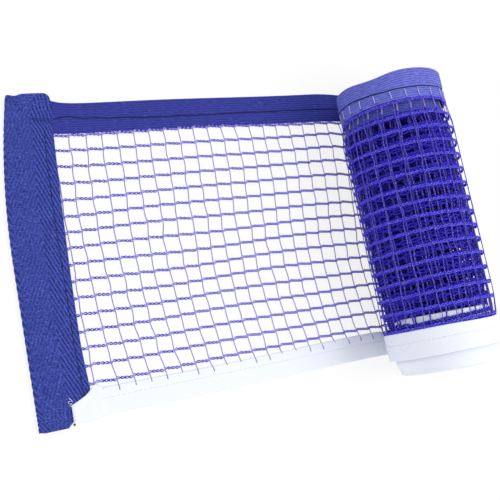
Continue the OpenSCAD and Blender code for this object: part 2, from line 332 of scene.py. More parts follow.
        low, high = stray(np.floor(turn)), stray(np.floor(turn) + 1)
        value = low + (high - low) * smooth_step(turn - np.floor(turn), 0.2, 0.8)
        middle = smooth_step(-across, 1 * MM, 12 * MM) * smooth_step(self.last + across, 1 * MM, 12 * MM)
        return DRIFT * value * middle * self.within(along, 30 * MM, 20 * MM)

    def point(self, along, across, depth):
        """Places in the frame of points given along, across and through the net."""
        along, across, depth = np.broadcast_arrays(
            np.asarray(along, float), np.asarray(across, float), np.asarray(depth, float)
        )
        k, phi, rolled = self.angle(along)
        r = self.radii[k] - depth + self.looseness(along, across)
        x = np.where(rolled, self.axis_x + r * np.cos(phi), self.axis_x - self.sizes.flat_length + along)
        z = np.where(rolled, self.heights[k] + r * np.sin(phi), depth + self.lift(along, across))
        y = self.first_y + self.sideways(along, across)
        return np.stack([x, y, z], -1)

    def lift(self, along, across):
        """How far the flat net stands off the table: a little, unevenly, in its open mesh."""
        open_mesh = window(along, (0, 10 * MM), (150 * MM, 175 * MM))
        inside = smooth_step(-across, -1 * MM, 8 * MM) * smooth_step(self.last + across, -3 * MM, 6 * MM)
        swell = 0.5 + 0.5 * wander(along / (22 * MM), across / (19 * MM), 3)
        return 0.45 * MM * np.clip(swell, 0, 1.5) * open_mesh * inside

    def thread_shift(self, along, across):
        """How far along the net a cross thread is pulled at a place on it."""
        s = self.sizes
        row = -across / s.cell
        left = 0.055 * (row - 5.5) ** 2 - 1.6
        right = 3.2 * np.cos((row - 2) * math.pi / 8.5) + 0.3
        share = np.clip(along / s.flat_length, 0, 1)
        flat = (left * (1 - share) + right * share) * smooth_step(along, -2 * MM, 6 * MM)
        roll = 0.3 + 1.1 * wander(row * 0.35, along / (6 * MM), 8)
        rolled = self.wound(along, 10 * MM, 20 * MM)
        return (flat * (1 - rolled) + roll * rolled) * MM

    def cord_shift(self, along, across):
        """How far across the net a cord strays, with a step at each cross thread, and its cells."""
        cells = (along - self.thread_shift(along, across)) / self.sizes.cell
        slant = 0.5 - (cells - np.floor(cells))
        step = 0.9 - 0.4 * self.wound(along, 10 * MM, 20 * MM)
        stray = 0.45 * wander(along / (17 * MM), across / (7 * MM), 11)
        return (slant * step + stray) * MM + self.drift(along, across), cells


# ---------------- node building

MATH = "ShaderNodeMath"
VECTOR = "ShaderNodeVectorMath"
MIX = "ShaderNodeMix"
RANGE = "ShaderNodeMapRange"
NOISE = "ShaderNodeTexNoise"
ATTRIBUTE = "ShaderNodeAttribute"
SHADER = "ShaderNodeBsdfPrincipled"
NAMED = "GeometryNodeInputNamedAttribute"
RESAMPLE = "GeometryNodeResampleCurve"
CIRCLE = "GeometryNodeCurvePrimitiveCircle"
TUBE = "GeometryNodeCurveToMesh"
BUMP = "ShaderNodeBump"
SPLIT = "ShaderNodeSeparateXYZ"
MOVE = "GeometryNodeSetPosition"


def add(tree, kind, *values, inputs=None, **settings):
    """Adds a node with its settings, and with a value or a link for each input given.

    Inputs are given in order, or by name in inputs. A link comes from a socket or from
    the first live output of a node, and a list links each of its members.
    """
    made = tree.nodes.new(kind)
    for name, value in settings.items():
        setattr(made, name, value)
    for key, value in (*enumerate(values), *(inputs or {}).items()):
        for source in value if isinstance(value, list) else (value,):
            if isinstance(source, bpy.types.Node):
                source = next(socket for socket in source.outputs if socket.enabled)
            if isinstance(source, bpy.types.NodeSocket):
                tree.links.new(source, made.inputs[key])
            else:
                made.inputs[key].default_value = source
    return made


def new_tree(name, inputs):
    """An empty geometry tree with named inputs, and those inputs' sockets."""
    tree = bpy.data.node_groups.new(name, "GeometryNodeTree")
    for label, kind in {"Geometry": "Geometry", **inputs}.items():
        tree.interface.new_socket(label, in_out="INPUT", socket_type="NodeSocket" + kind)
    tree.interface.new_socket("Geometry", in_out="OUTPUT", socket_type="NodeSocketGeometry")
    return tree, add(tree, "NodeGroupInput").outputs


def close_tree(tree, geometry, finish):
    """Ends a tree in Realize Instances and Set Material."""
    whole = add(tree, "GeometryNodeRealizeInstances", geometry)
    smooth = add(tree, "GeometryNodeSetShadeSmooth", whole)
    done = add(tree, "GeometryNodeSetMaterial", inputs={"Geometry": smooth, "Material": finish})
    add(tree, "NodeGroupOutput", done)
    return tree


# the lengths that each tree is given
YARN_LENGTHS = ("Lay Length", "Half Width", "Half Height", "Ply Radius", "Point Spacing")
STITCH_LENGTHS = ("Stitch Pitch", "Stitch Length", "Thread Radius", "Sag", "Unevenness")


def plied_yarn_tree():
    """Two plies that wind round each other along a guide line, or one straight ply."""
    others = {"Sides": "Int", "Second Ply": "Bool", "Finish": "Material"}
    tree, given = new_tree("Plied yarn", {**dict.fromkeys(YARN_LENGTHS, "Float"), **others})
    line = add(tree, "GeometryNodeMeshToCurve", given["Geometry"])
    fine = add(tree, RESAMPLE, line, inputs={"Length": given["Point Spacing"]}, mode="LENGTH")
    run = add(tree, "GeometryNodeSplineParameter").outputs["Length"]
    turns = add(tree, MATH, run, given["Lay Length"], operation="DIVIDE")
    angle = add(tree, MATH, turns, 2 * math.pi, operation="MULTIPLY")
    circle = add(tree, CIRCLE, given["Sides"], inputs={"Radius": given["Ply Radius"]}, mode="RADIUS")
    swings = []
    for label, reach, wave in (("across", "Half Width", "SINE"), ("outward", "Half Height", "COSINE")):
        share = add(tree, MATH, add(tree, MATH, angle, operation=wave), given[reach], operation="MULTIPLY")
        direction = add(tree, NAMED, label, data_type="FLOAT_VECTOR")
        swings.append(add(tree, VECTOR, direction, inputs={"Scale": share}, operation="SCALE"))
    swing = add(tree, VECTOR, *swings, operation="ADD")
    plies = []
    for side in (1, -1):
        offset = add(tree, VECTOR, swing, inputs={"Scale": side}, operation="SCALE")
        moved = add(tree, MOVE, fine, inputs={"Offset": offset})
        plies.append(add(tree, TUBE, moved, inputs={"Profile Curve": circle, "Fill Caps": True}))
    second = add(
        tree, "GeometryNodeSwitch", given["Second Ply"], inputs={"True": plies[1]}, input_type="GEOMETRY"
    )
    joined = add(tree, "GeometryNodeJoinGeometry", [plies[0], second])
    return close_tree(tree, joined, given["Finish"])


def seam_tree():
    """Stitches that dip into the cloth at both ends, one after another along a guide line."""
    others = {"Seed": "Int", "Finish": "Material"}
    tree, given = new_tree("Seam", {**dict.fromkeys(STITCH_LENGTHS, "Float"), **others})
    half = add(tree, MATH, given["Stitch Length"], 0.5, operation="MULTIPLY")
    minus = add(tree, MATH, half, -1, operation="MULTIPLY")
    low = add(tree, MATH, given["Sag"], -1, operation="MULTIPLY")
    ends = {
        "Start": add(tree, "ShaderNodeCombineXYZ", inputs={"X": minus, "Z": low}),
        "Middle": add(tree, "ShaderNodeCombineXYZ", inputs={"Z": given["Sag"]}),
        "End": add(tree, "ShaderNodeCombineXYZ", inputs={"X": half, "Z": low}),
    }
    arch = add(tree, "GeometryNodeCurveQuadraticBezier", 4, inputs=ends)
    circle = add(tree, CIRCLE, 6, inputs={"Radius": given["Thread Radius"]}, mode="RADIUS")
    stitch = add(tree, TUBE, arch, inputs={"Profile Curve": circle, "Fill Caps": True})
    line = add(tree, "GeometryNodeMeshToCurve", given["Geometry"])
    spaced = add(tree, RESAMPLE, line, inputs={"Length": given["Stitch Pitch"]}, mode="LENGTH")
    turned = add(
        tree,
        "FunctionNodeAxesToRotation",
        add(tree, NAMED, "outward", data_type="FLOAT_VECTOR"),
        add(tree, "GeometryNodeInputTangent"),
        primary_axis="Z",
        secondary_axis="X",
    )
    reach = {"Min": (-1.0, -1.0, -0.3), "Max": (1.0, 1.0, 0.3), "Seed": given["Seed"]}
    strays = add(tree, "FunctionNodeRandomValue", inputs=reach, data_type="FLOAT_VECTOR")
    stray = add(tree, VECTOR, strays, inputs={"Scale": given["Unevenness"]}, operation="SCALE")
    loose = add(tree, MOVE, spaced, inputs={"Offset": stray})
    stitched = {"Instance": stitch, "Rotation": turned}
    placed = add(tree, "GeometryNodeInstanceOnPoints", loose, inputs=stitched)
    return close_tree(tree, placed, given["Finish"])


def grown(name, lines, tree, inputs):
    """A plain mesh that a geometry tree grows along guide lines.

    A line is (points, across, outward, cells): its places, the two directions
    square to it at each, and how many mesh cells along the net each is.
    """
    points = np.concatenate([line[0] for line in lines])
    edges, first = [], 0
    for line in lines:
        n = len(line[0])
        edges += [(first + i, first + i + 1) for i in range(n - 1)]
        first += n
    mesh = bpy.data.meshes.new(name)
    mesh.from_pydata(points.tolist(), edges, [])
    for label, place in (("across", 1), ("outward", 2)):
        data = np.concatenate([line[place] for line in lines]).astype(np.float32)
        mesh.attributes.new(label, "FLOAT_VECTOR", "POINT").data.foreach_set("vector", data.ravel())
    cells = np.concatenate([line[3] for line in lines]).astype(np.float32)
    mesh.attributes.new("cells", "FLOAT", "POINT").data.foreach_set("value", cells)
    made = bpy.data.objects.new(name, mesh)
    bpy.context.scene.collection.objects.link(made)
    shape = made.modifiers.new("Shape", "NODES")
    shape.node_group = tree
    for item in tree.interface.items_tree:
        if item.in_out == "INPUT" and item.name in inputs:
            shape[item.identifier] = inputs[item.name]
    depsgraph = bpy.context.evaluated_depsgraph_get()
    grown_mesh = bpy.data.meshes.new_from_object(
        made.evaluated_get(depsgraph), preserve_all_data_layers=True, depsgraph=depsgraph
    )
    made.modifiers.clear()
    made.data = grown_mesh
    grown_mesh.name = name
    for label in ("across", "outward"):
        if label in grown_mesh.attributes:
            grown_mesh.attributes.remove(grown_mesh.attributes[label])
    if not len(grown_mesh.polygons):
        raise RuntimeError(f"{name} has no faces")
    return made


def ride_for(made, slot, *nodes):
    """Puts a piece on the net's body in place of CAD nodes, which it hides. slot is not used."""
    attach(made, BODY)
    if nodes:
        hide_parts(*nodes)
    return made


def spun(name, lines, twist, look, slot, *nodes, sides=4):
    """Yarn along guide lines, on the net's body.

    twist gives the YARN_LENGTHS in mm. A yarn of no width is one straight ply.
    """
    inputs = {label: value * MM for label, value in zip(YARN_LENGTHS, twist)}
    inputs |= {"Sides": sides, "Second Ply": twist[1] > 0, "Finish": finish(look)}
    tree = bpy.data.node_groups.get("Plied yarn") or plied_yarn_tree()
    return ride_for(grown(name, lines, tree, inputs), slot, *nodes)


def sewn(name, lines, stitch, seed, look, *nodes):
    """Stitches along guide lines, on the net's body.

    stitch gives the STITCH_LENGTHS in mm.
    """
    inputs = {label: value * MM for label, value in zip(STITCH_LENGTHS, stitch)}
    inputs |= {"Seed": seed, "Finish": finish(look)}
    tree = bpy.data.node_groups.get("Seam") or seam_tree()
    return ride_for(grown(name, lines, tree, inputs), f"seam_{look}", *nodes)


# ---------------- cloth building


def cloth(name, front, back, flat_place, finish):
    """A closed piece of cloth from the points of its two faces, with rims between them.

    flat_place gives each point's place on the flat cloth, for its pattern.
    """
    n, m = front.shape[:2]
    grid = np.arange(n * m).reshape(n, m)
    quads = np.stack([grid[:-1, :-1], grid[1:, :-1], grid[1:, 1:], grid[:-1, 1:]], -1).reshape(-1, 4)
    rim = np.concatenate([grid[0, :-1], grid[:-1, -1], grid[-1, :0:-1], grid[:0:-1, 0]])
    after = np.roll(rim, -1)
    walls = np.stack([rim, after, after + n * m, rim + n * m], -1)
    faces = np.concatenate([quads, quads[:, ::-1] + n * m, walls])
    points = np.concatenate([front.reshape(-1, 3), back.reshape(-1, 3)])
    mesh = bpy.data.meshes.new(name)
    mesh.from_pydata(points.tolist(), [], faces.tolist())
    flat = np.tile(flat_place.reshape(-1, 2), (2, 1)).astype(np.float32)
    corners = np.empty(len(mesh.loops), np.int32)
    mesh.loops.foreach_get("vertex_index", corners)
    mesh.uv_layers.new(name="Flat").data.foreach_set("uv", flat[corners].ravel())
    faced = np.repeat([0.0, 1.0], n * m).astype(np.float32)
    mesh.attributes.new("back", "FLOAT", "POINT").data.foreach_set("value", faced)
    mesh.polygons.foreach_set("use_smooth", np.ones(len(mesh.polygons), bool))
    mesh.materials.append(finish)
    work = bmesh.new()
    work.from_mesh(mesh)
    bmesh.ops.recalc_face_normals(work, faces=work.faces)
    work.to_mesh(mesh)
    work.free()
    made = bpy.data.objects.new(name, mesh)
    bpy.context.scene.collection.objects.link(made)
    return made


def tape_piece(name, lay, along, places, face, look, ribs, columns):
    """A tape along the net, ribbed lengthwise, grooved at its seam and thin at its edges.

    places are its inner edge, outer edge and seam across the net at each length along it,
    and face gives the depth of its front and back there. ribs are the ribs' pitch and
    height and the seam's groove.
    """
    inner, outer, seam = (place[:, None] for place in places)
    pitch, height, deep = ribs
    share = np.linspace(0, 1, columns)[None, :]
    width = np.abs(outer - inner)
    across = inner + (outer - inner) * share
    run = along[:, None] + 0 * across
    from_edge = np.minimum(share, 1 - share) * width
    rounding = 1 - np.sqrt(1 - (1 - np.clip(from_edge / (0.55 * MM), 0, 1)) ** 2)
    groove = deep * bump(across, seam, 0.5 * MM)
    from_inner = share * width.mean() + 0 * across
    rib = height * (0.5 - 0.5 * np.cos(2 * math.pi * from_inner / pitch))
    front, back = face(run, across)
    sunk = rounding * (front - back) * 0.45 + rib + groove
    front = lay.point(run, across, front - sunk)
    back = lay.point(run, across, back + sunk)
    return cloth(name, front, back, np.stack([run, from_inner], -1), finish(look))


def guide(lay, along, across, depth, cells=None, outward=1):
    """A guide line of grown() from places on the net."""
    along, across, depth = np.broadcast_arrays(along, across, depth)
    here = lay.point(along, across, depth)
    above = lay.point(along, across, depth + 0.1 * MM)
    beside = lay.point(along, across + 0.1 * MM, depth)
    out = (above - here) * outward
    side = beside - here
    out /= np.linalg.norm(out, axis=1)[:, None]
    side /= np.linalg.norm(side, axis=1)[:, None]
    return here, side, out, along / lay.sizes.cell if cells is None else cells


# ---------------- materials


def darker(tone, share):
    """A colour at a share of its light."""
    return (*(share * part for part in tone[:3]), 1)


def yarn(tree, base, deep, light, fibre, joints=0.0, knots=0.0, near_roll=None, seep=0.0):
    """Spun polyester yarn: dull and soft, with fine fibres that catch the light.

    joints is how much the yarn is painted paler where it holds a cross thread, a painted
    highlight. knots is how much it is painted darker at the ends of its loops, a painted
    shade, and paler between them, a painted highlight, four loops to a mesh cell. near_roll
    is the tone that it takes beside the roll, a painted shadow of the roll tinted by the
    violet light that the roll bounces on it, and seep is how much light enters it.
    """
    place = add(tree, "ShaderNodeTexCoord").outputs["Object"]
    fine = add(tree, NOISE, place, inputs={"Scale": 1 / fibre, "Detail": 2})
    patches = add(tree, NOISE, place, inputs={"Scale": 1 / (3 * MM), "Detail": 2})
    rounded = add(tree, RANGE, fine, 0.38, 0.62)
    toned = add(tree, MIX, inputs={0: rounded, 6: deep, 7: base}, data_type="RGBA")
    loose = add(tree, RANGE, patches, 0.35, 0.65, 0.25, 0.8)
    fibres = add(tree, MATH, add(tree, RANGE, fine, 0.55, 0.72), loose, operation="MULTIPLY")
    tone = add(tree, MIX, inputs={0: fibres, 6: toned, 7: light}, data_type="RGBA")
    cells = add(tree, ATTRIBUTE, attribute_name="cells").outputs["Fac"]
    # painted shade at the ends of the loops, and a painted highlight between them
    if knots:
        loops = add(tree, MATH, add(tree, MATH, cells, 4, operation="MULTIPLY"), 0.5, operation="PINGPONG")
        between = add(tree, RANGE, loops, 0.26, 0.42, 0, 0.75 * knots)
        tone = add(tree, MIX, inputs={0: between, 6: tone, 7: light}, data_type="RGBA")
        near = add(tree, RANGE, loops, 0.24, 0.08, 0, knots)
        tone = add(tree, MIX, inputs={0: near, 6: tone, 7: deep}, data_type="RGBA")
    # painted highlight where the yarn holds a cross thread
    if joints:
        near = add(tree, RANGE, add(tree, MATH, cells, 0.5, operation="PINGPONG"), 0.12, 0.04, 0, joints)
        tone = add(tree, MIX, inputs={0: near, 6: tone, 7: light}, data_type="RGBA")
    # painted shadow of the roll, tinted violet by the light that it bounces
    if near_roll:
        reach = add(tree, RANGE, cells, 11, 22, 0, 0.85)
        tone = add(tree, MIX, inputs={0: reach, 6: tone, 7: near_roll}, data_type="RGBA")
    looks = {
        "Base Color": tone,
        "Roughness": 0.85,
        "Specular IOR Level": 0.12,
        "Sheen Weight": 0.12,
        "Sheen Roughness": 0.5,
        "Sheen Tint": base,
        "Subsurface Weight": seep,
        "Subsurface Scale": 0.7 * MM,
        "Subsurface Radius": (0.6, 0.6, 1.0),
        "Normal": add(tree, BUMP, inputs={"Height": fine, "Distance": 0.12 * MM, "Strength": 1}),
    }
    return add(tree, SHADER, inputs=looks)


def sewing_thread(tree, base):
    """Twisted sewing thread: smooth, with a slight gloss on its plies."""
    place = add(tree, "ShaderNodeTexCoord").outputs["Object"]
    fine = add(tree, NOISE, place, inputs={"Scale": 1 / (0.35 * MM), "Detail": 2})
    plies = add(tree, RANGE, fine, 0.3, 0.7)
    looks = {
        "Base Color": add(tree, MIX, inputs={0: plies, 6: darker(base, 0.6), 7: base}, data_type="RGBA"),
        "Roughness": 0.55,
        "Specular IOR Level": 0.25,
        "Normal": add(tree, BUMP, inputs={"Height": fine, "Distance": 0.05 * MM, "Strength": 1}),
    }
    return add(tree, SHADER, inputs=looks)


def ribbed_tape(tree, front, back, fleck):
    """Ribbed woven polyester: soft streaks on its ribs, and a paler back with loose fibres."""
    flat = add(tree, "ShaderNodeUVMap", uv_map="Flat")
    along, across, _ = add(tree, SPLIT, flat).outputs
    # ribs 1.25 mm apart and weft picks 0.55 mm apart
    turns = add(tree, MATH, across, 2 * math.pi / (1.25 * MM), operation="MULTIPLY")
    picks = add(tree, MATH, along, 2 * math.pi / (0.55 * MM), operation="MULTIPLY")
    rib = add(tree, MATH, turns, operation="SINE")
    pick = add(tree, MATH, picks, operation="SINE")
    behind = add(tree, ATTRIBUTE, attribute_name="back").outputs["Fac"]
    # fibres drawn out along the ribs, and broad patches
    drawn = add(tree, "ShaderNodeMapping", flat, inputs={"Scale": (0.12, 1.0, 1.0)})
    fine = add(tree, NOISE, drawn, inputs={"Scale": 1 / (0.4 * MM), "Detail": 3})
    patches = add(tree, NOISE, flat, inputs={"Scale": 1 / (9 * MM), "Detail": 2})
    streak = add(tree, MATH, fine, 3, -1.5, operation="MULTIPLY_ADD")
    picked = add(tree, MATH, pick, 0.07, streak, operation="MULTIPLY_ADD")
    weave = add(tree, MATH, rib, 0.5, picked, operation="MULTIPLY_ADD")
    face = add(tree, MIX, inputs={0: behind, 6: front, 7: back}, data_type="RGBA")
    # painted shade: the furrows between the ribs are painted darker, together with random streaks along
    # them
    shades = {0: behind, 6: darker(front, 0.52), 7: darker(back, 0.42)}
    furrow = add(tree, MIX, inputs=shades, data_type="RGBA")
    raised = add(tree, RANGE, weave, -0.65, 0.35)
    ribbed = add(tree, MIX, inputs={0: raised, 6: furrow, 7: face}, data_type="RGBA")
    loose = add(tree, RANGE, patches, 0.3, 0.7, 0.1, 0.5)
    fibres = add(tree, MATH, add(tree, RANGE, fine, 0.56, 0.74), loose, operation="MULTIPLY")
    flecks = add(tree, MATH, fibres, add(tree, RANGE, behind, 0, 1, 0.3, 1), operation="MULTIPLY")
    height = add(tree, MATH, weave, 0.5, fine, operation="MULTIPLY_ADD")
    looks = {
        "Base Color": add(tree, MIX, inputs={0: flecks, 6: ribbed, 7: fleck}, data_type="RGBA"),
        "Roughness": 0.68,
        "Specular IOR Level": 0.25,
        "Sheen Weight": 0.06,
        "Sheen Roughness": 0.5,
        "Sheen Tint": back,
        "Normal": add(tree, BUMP, inputs={"Height": height, "Distance": 0.12 * MM, "Strength": 1}),
    }
    return add(tree, SHADER, inputs=looks)


def bleached_tape(tree, base, cool):
    """Bleached woven polyester: flat and matt, with fine ribs, a faint weave and cooler patches."""
    flat = add(tree, "ShaderNodeUVMap", uv_map="Flat")
    across = add(tree, SPLIT, flat).outputs[1]
    turns = add(tree, MATH, across, 2 * math.pi / (1.15 * MM), operation="MULTIPLY")
    rib = add(tree, MATH, turns, operation="SINE")
    drawn = add(tree, "ShaderNodeMapping", flat, inputs={"Scale": (0.2, 1.0, 1.0)})
    fine = add(tree, NOISE, drawn, inputs={"Scale": 1 / (0.45 * MM), "Detail": 3})
    patches = add(tree, NOISE, flat, inputs={"Scale": 1 / (14 * MM), "Detail": 2})
    fibres = add(tree, MATH, fine, 0.8, operation="MULTIPLY")
    weave = add(tree, MATH, rib, 0.16, fibres, operation="MULTIPLY_ADD")
    raised = add(tree, RANGE, weave, -0.1, 0.7)
    # slight painted shade in the furrows between the ribs, together with random fibre noise
    ribbed = add(tree, MIX, inputs={0: raised, 6: darker(base, 0.92), 7: base}, data_type="RGBA")
    cooler = add(tree, RANGE, patches, 0.35, 0.65, 0, 0.5)
    looks = {
        "Base Color": add(tree, MIX, inputs={0: cooler, 6: ribbed, 7: cool}, data_type="RGBA"),
        "Roughness": 0.6,
        "Specular IOR Level": 0.25,
        "Sheen Weight": 0.1,
        "Sheen Roughness": 0.5,
        "Normal": add(tree, BUMP, inputs={"Height": weave, "Distance": 0.05 * MM, "Strength": 1}),
    }
    return add(tree, SHADER, inputs=looks)


def herringbone(tree, base, furrow, fleck):
    """Herringbone cotton twill: matt diagonal ridges that turn back at each chevron line."""
    flat = add(tree, "ShaderNodeUVMap", uv_map="Flat")
    place = add(tree, "ShaderNodeTexCoord").outputs["Object"]
    across = add(tree, SPLIT, flat).outputs[1]
    ridge = add(tree, ATTRIBUTE, attribute_name="twill").outputs["Fac"]
    turned = add(tree, ATTRIBUTE, attribute_name="chevron").outputs["Fac"]
    wave = add(tree, MATH, add(tree, MATH, ridge, 2 * math.pi, operation="MULTIPLY"), operation="SINE")
    fine = add(tree, NOISE, place, inputs={"Scale": 1 / (0.8 * MM), "Detail": 2})
    patches = add(tree, NOISE, flat, inputs={"Scale": 1 / (12 * MM), "Detail": 2})
    # yarns that cross each ridge, 0.7 mm apart
    turns = add(tree, MATH, across, 2 * math.pi / (0.7 * MM), operation="MULTIPLY")
    yarns = add(tree, MATH, add(tree, MATH, turns, operation="SINE"), 0.12, operation="MULTIPLY")
    strength = add(tree, RANGE, turned, -0.1, 0.1, 0.22, 0.75)
    height = add(tree, MATH, wave, strength, yarns, operation="MULTIPLY_ADD")
    fibres = add(tree, MATH, fine, 3.4, -1.7, operation="MULTIPLY_ADD")
    woven = add(tree, MATH, height, fibres, operation="ADD")
    raised = add(tree, RANGE, woven, -0.75, 0.75)
    # painted shade in the furrows between the ridges, together with random fibre noise
    toned = add(tree, MIX, inputs={0: raised, 6: furrow, 7: base}, data_type="RGBA")
    lit = add(tree, RANGE, fine, 0.62, 0.78, 0, 0.5)
    light = add(tree, MIX, inputs={0: lit, 6: toned, 7: fleck}, data_type="RGBA")
    worn = add(tree, RANGE, patches, 0.3, 0.7, 0, 0.18)
    looks = {
        "Base Color": add(tree, MIX, inputs={0: worn, 6: light, 7: furrow}, data_type="RGBA"),
        "Roughness": 0.88,
        "Specular IOR Level": 0.25,
        "Sheen Weight": 0.12,
        "Sheen Roughness": 0.5,
        "Sheen Tint": base,
        "Normal": add(tree, BUMP, inputs={"Height": woven, "Distance": 0.16 * MM, "Strength": 1}),
    }
    return add(tree, SHADER, inputs=looks)


def seen_directly(tree):
    """1 for what the camera, a reflection or glass shows, and 0 for the light that surfaces get."""
    path = add(tree, "ShaderNodeLightPath").outputs
    mirrored = add(tree, MATH, path["Is Glossy Ray"], path["Is Transmission Ray"], operation="MAXIMUM")
    return add(tree, MATH, path["Is Camera Ray"], mirrored, operation="MAXIMUM")


# share of plain white in what the eye sees of the paper
PAPER_GLOW = 0.8


def pale_paper(tree, base):
    """Seamless paper: plain white to the eye, and matt, with a soft shadow under the net."""
    paper = add(tree, SHADER, inputs={"Base Color": base, "Roughness": 0.9, "Specular IOR Level": 0})
    glow = add(tree, "ShaderNodeEmission", WHITE, 1)
    share = add(tree, MATH, seen_directly(tree), PAPER_GLOW, operation="MULTIPLY")
    return add(tree, "ShaderNodeMixShader", share, paper, glow)


# the real material of each finish, and how its nodes are made from the net's colours
FINISHES = {
    # beside the roll the flat cords take the inner yarn's tone, a painted shadow of the roll
    "cord": (
        "Knitted violet polyester yarn",
        lambda tree, c: yarn(tree, c.cord, c.cord_deep, c.cord_light, 0.95 * MM, 0.8, 0.75, c.inside_cord),
    ),
    # painted light: the same yarn, painted lighter on the roll's outer turn
    "cord_outside": (
        "Knitted violet polyester yarn, wound",
        lambda tree, c: yarn(tree, c.roll_cord, c.roll_deep, c.roll_light, 0.6 * MM, seep=0.3),
    ),
    # painted shade: the same yarn, painted darker inside the roll
    "cord_inside": (
        "Knitted violet polyester yarn, wound inside",
        lambda tree, c: yarn(tree, c.inside_cord, c.inside_deep, c.roll_cord, 0.5 * MM, seep=0.3),
    ),
    "thread": (
        "Twisted violet polyester thread",
        lambda tree, c: yarn(tree, c.thread, c.thread_deep, c.thread_light, 0.4 * MM, joints=0.85),
    ),
    # painted light: the same thread, painted lighter on the roll's outer turn
    "thread_outside": (
        "Twisted violet polyester thread, wound",
        lambda tree, c: yarn(tree, c.roll_thread, c.thread, c.thread_light, 0.4 * MM, 0.85, seep=0.3),
    ),
    "hem": (
        "Ribbed blue polyester tape",
        lambda tree, c: ribbed_tape(tree, c.hem_front, c.hem_back, c.hem_fibre),
    ),
    "tape": ("Bleached woven tape", lambda tree, c: bleached_tape(tree, c.tape, c.tape_cool)),
    "twill": (
        "Herringbone cotton twill",
        lambda tree, c: herringbone(tree, c.twill, c.twill_deep, c.twill_fibre),
    ),
    "navy": ("Navy sewing thread", lambda tree, c: sewing_thread(tree, c.navy_thread)),
    "sky": ("Sky blue sewing thread", lambda tree, c: sewing_thread(tree, c.sky_thread)),
    "white": ("White sewing thread", lambda tree, c: sewing_thread(tree, c.white_thread)),
    "floor": ("Seamless pale paper", lambda tree, c: pale_paper(tree, c.floor)),
}


def finish(key):
    """The material of a finish, made once."""
    name, look = FINISHES[key]
    made = bpy.data.materials.get(name)
    if not made:
        made = bpy.data.materials.new(name)
        made.use_nodes = True
        made.node_tree.nodes.clear()
        add(made.node_tree, "ShaderNodeOutputMaterial", look(made.node_tree, bpy.context.scene.net_colours))
    return made


# ---------------- the mesh


def cord_guides(lay, start, end, step):
    """Guide lines of every cord over one stretch, from the end of the net if start is None."""
    s = lay.sizes
    lines = []
    for row in range(s.cord_count):
        across = -row * s.cell
        first = float(net_start(across)) if start is None else start
        along = np.arange(first, end, step)
        shift, cells = lay.cord_shift(along, across)
        # the painted highlights at the crossings show on the flat net only
        cells = np.where(along < lay.cords_change, cells, MID_CELL)
        depth = s.thread_thickness + s.layer_gap + s.cord_thickness / 2
        if row == 0:
            # the first cord lies on the edge of the hem
            flat = 1 - lay.wound(along, 10 * MM, 0)
            depth = depth + 0.3 * MM * flat
            shift = shift - (0.3 * MM + hem_creep(along)) * flat
        if row == s.cord_count - 1:
            # the last cord lies close to the white tape on the outer turn
            outer_turn = lay.wound(along, 0, 40 * MM) * (1 - lay.within(along, 20 * MM, 0))
            shift = shift - 1.5 * MM * outer_turn
        lines.append(guide(lay, along, across + shift, depth, cells))
    return lines


def thread_guides(lay, numbers, step):
    """Guide lines of the cross threads with those numbers."""
    s = lay.sizes
    lines = []
    for number in numbers:
        base = number * s.cell
        # from the hem's seam to the front of the white tape
        top = float(hem_lines(lay, np.array([base]))[2][0]) - 0.9 * MM
        bottom = lay.tape_inner - 2.6 * MM + 0.7 * MM * wander(number * 2.3, 0, 23)
        across = np.arange(top, bottom, -step)
        along = base + lay.thread_shift(base + 0 * across, across)
        along = along + 0.35 * MM * wander(across / (9 * MM), number * 2.1, 21)
        along = along + 0.3 * MM * wander(across / (2.6 * MM), number * 1.7, 22)
        over_tape = smooth_step(-across, lay.last + 1.2 * MM, lay.last + 3.6 * MM)
        depth = s.thread_thickness / 2 + 1.2 * MM * over_tape
        # painted highlights: it is painted paler over the white floor, and at its tip by the hem
        on_floor = 0.41 * (1 - lay.wound(along, 20 * MM, 10 * MM))
        at_tip = (0.5 if base < lay.inner_start else 0.42) * smooth_step(across, 0, 1.5 * MM)
        lines.append(guide(lay, along, across, depth, MID_CELL - np.maximum(at_tip, on_floor)))
    return lines


def net_start(across):
    """Where the end of the net stops, under the sleeve."""
    return sleeve_edges(np.asarray(across, float))[1] - 4.2 * MM


class NET_OT_cords(bpy.types.Operator):
    """Knits the lengthwise cords of the flat net, of the loose outer turn and of the roll"""

    bl_idname = "net.cords"
    bl_label = "Cords"

    def execute(self, context):
        lay = Lay(context.scene.net_sizes)
        third = float(lay.starts[4])
        flat = cord_guides(lay, None, lay.cords_change, 1 * MM)
        outer = cord_guides(lay, lay.cords_change, lay.inner_start, 1 * MM)
        second = cord_guides(lay, lay.inner_start, third, 1 * MM)
        core = cord_guides(lay, third, lay.end, 1.5 * MM)
        slot = "mesh_violet"
        spun("flat_cords_knit", flat, (4, 0.48, 0.18, 0.32, 0.4), "cord", slot, "flat_cords", sides=5)
        loops = (4, 0.52, 0.24, 0.38, 0.4)
        spun("outer_turn_cords_knit", outer, loops, "cord_outside", slot, "outer_turn_cords", sides=5)
        spun("second_turn_cords_knit", second, (4, 0.7, 0.24, 0.48, 0.6), "cord_inside", slot)
        loops = (12, 0.95, 0.1, 0.6, 1.9)
        spun("inner_turns_cords_knit", core, loops, "cord_inside", slot, "inner_turns_cords")
        return {"FINISHED"}


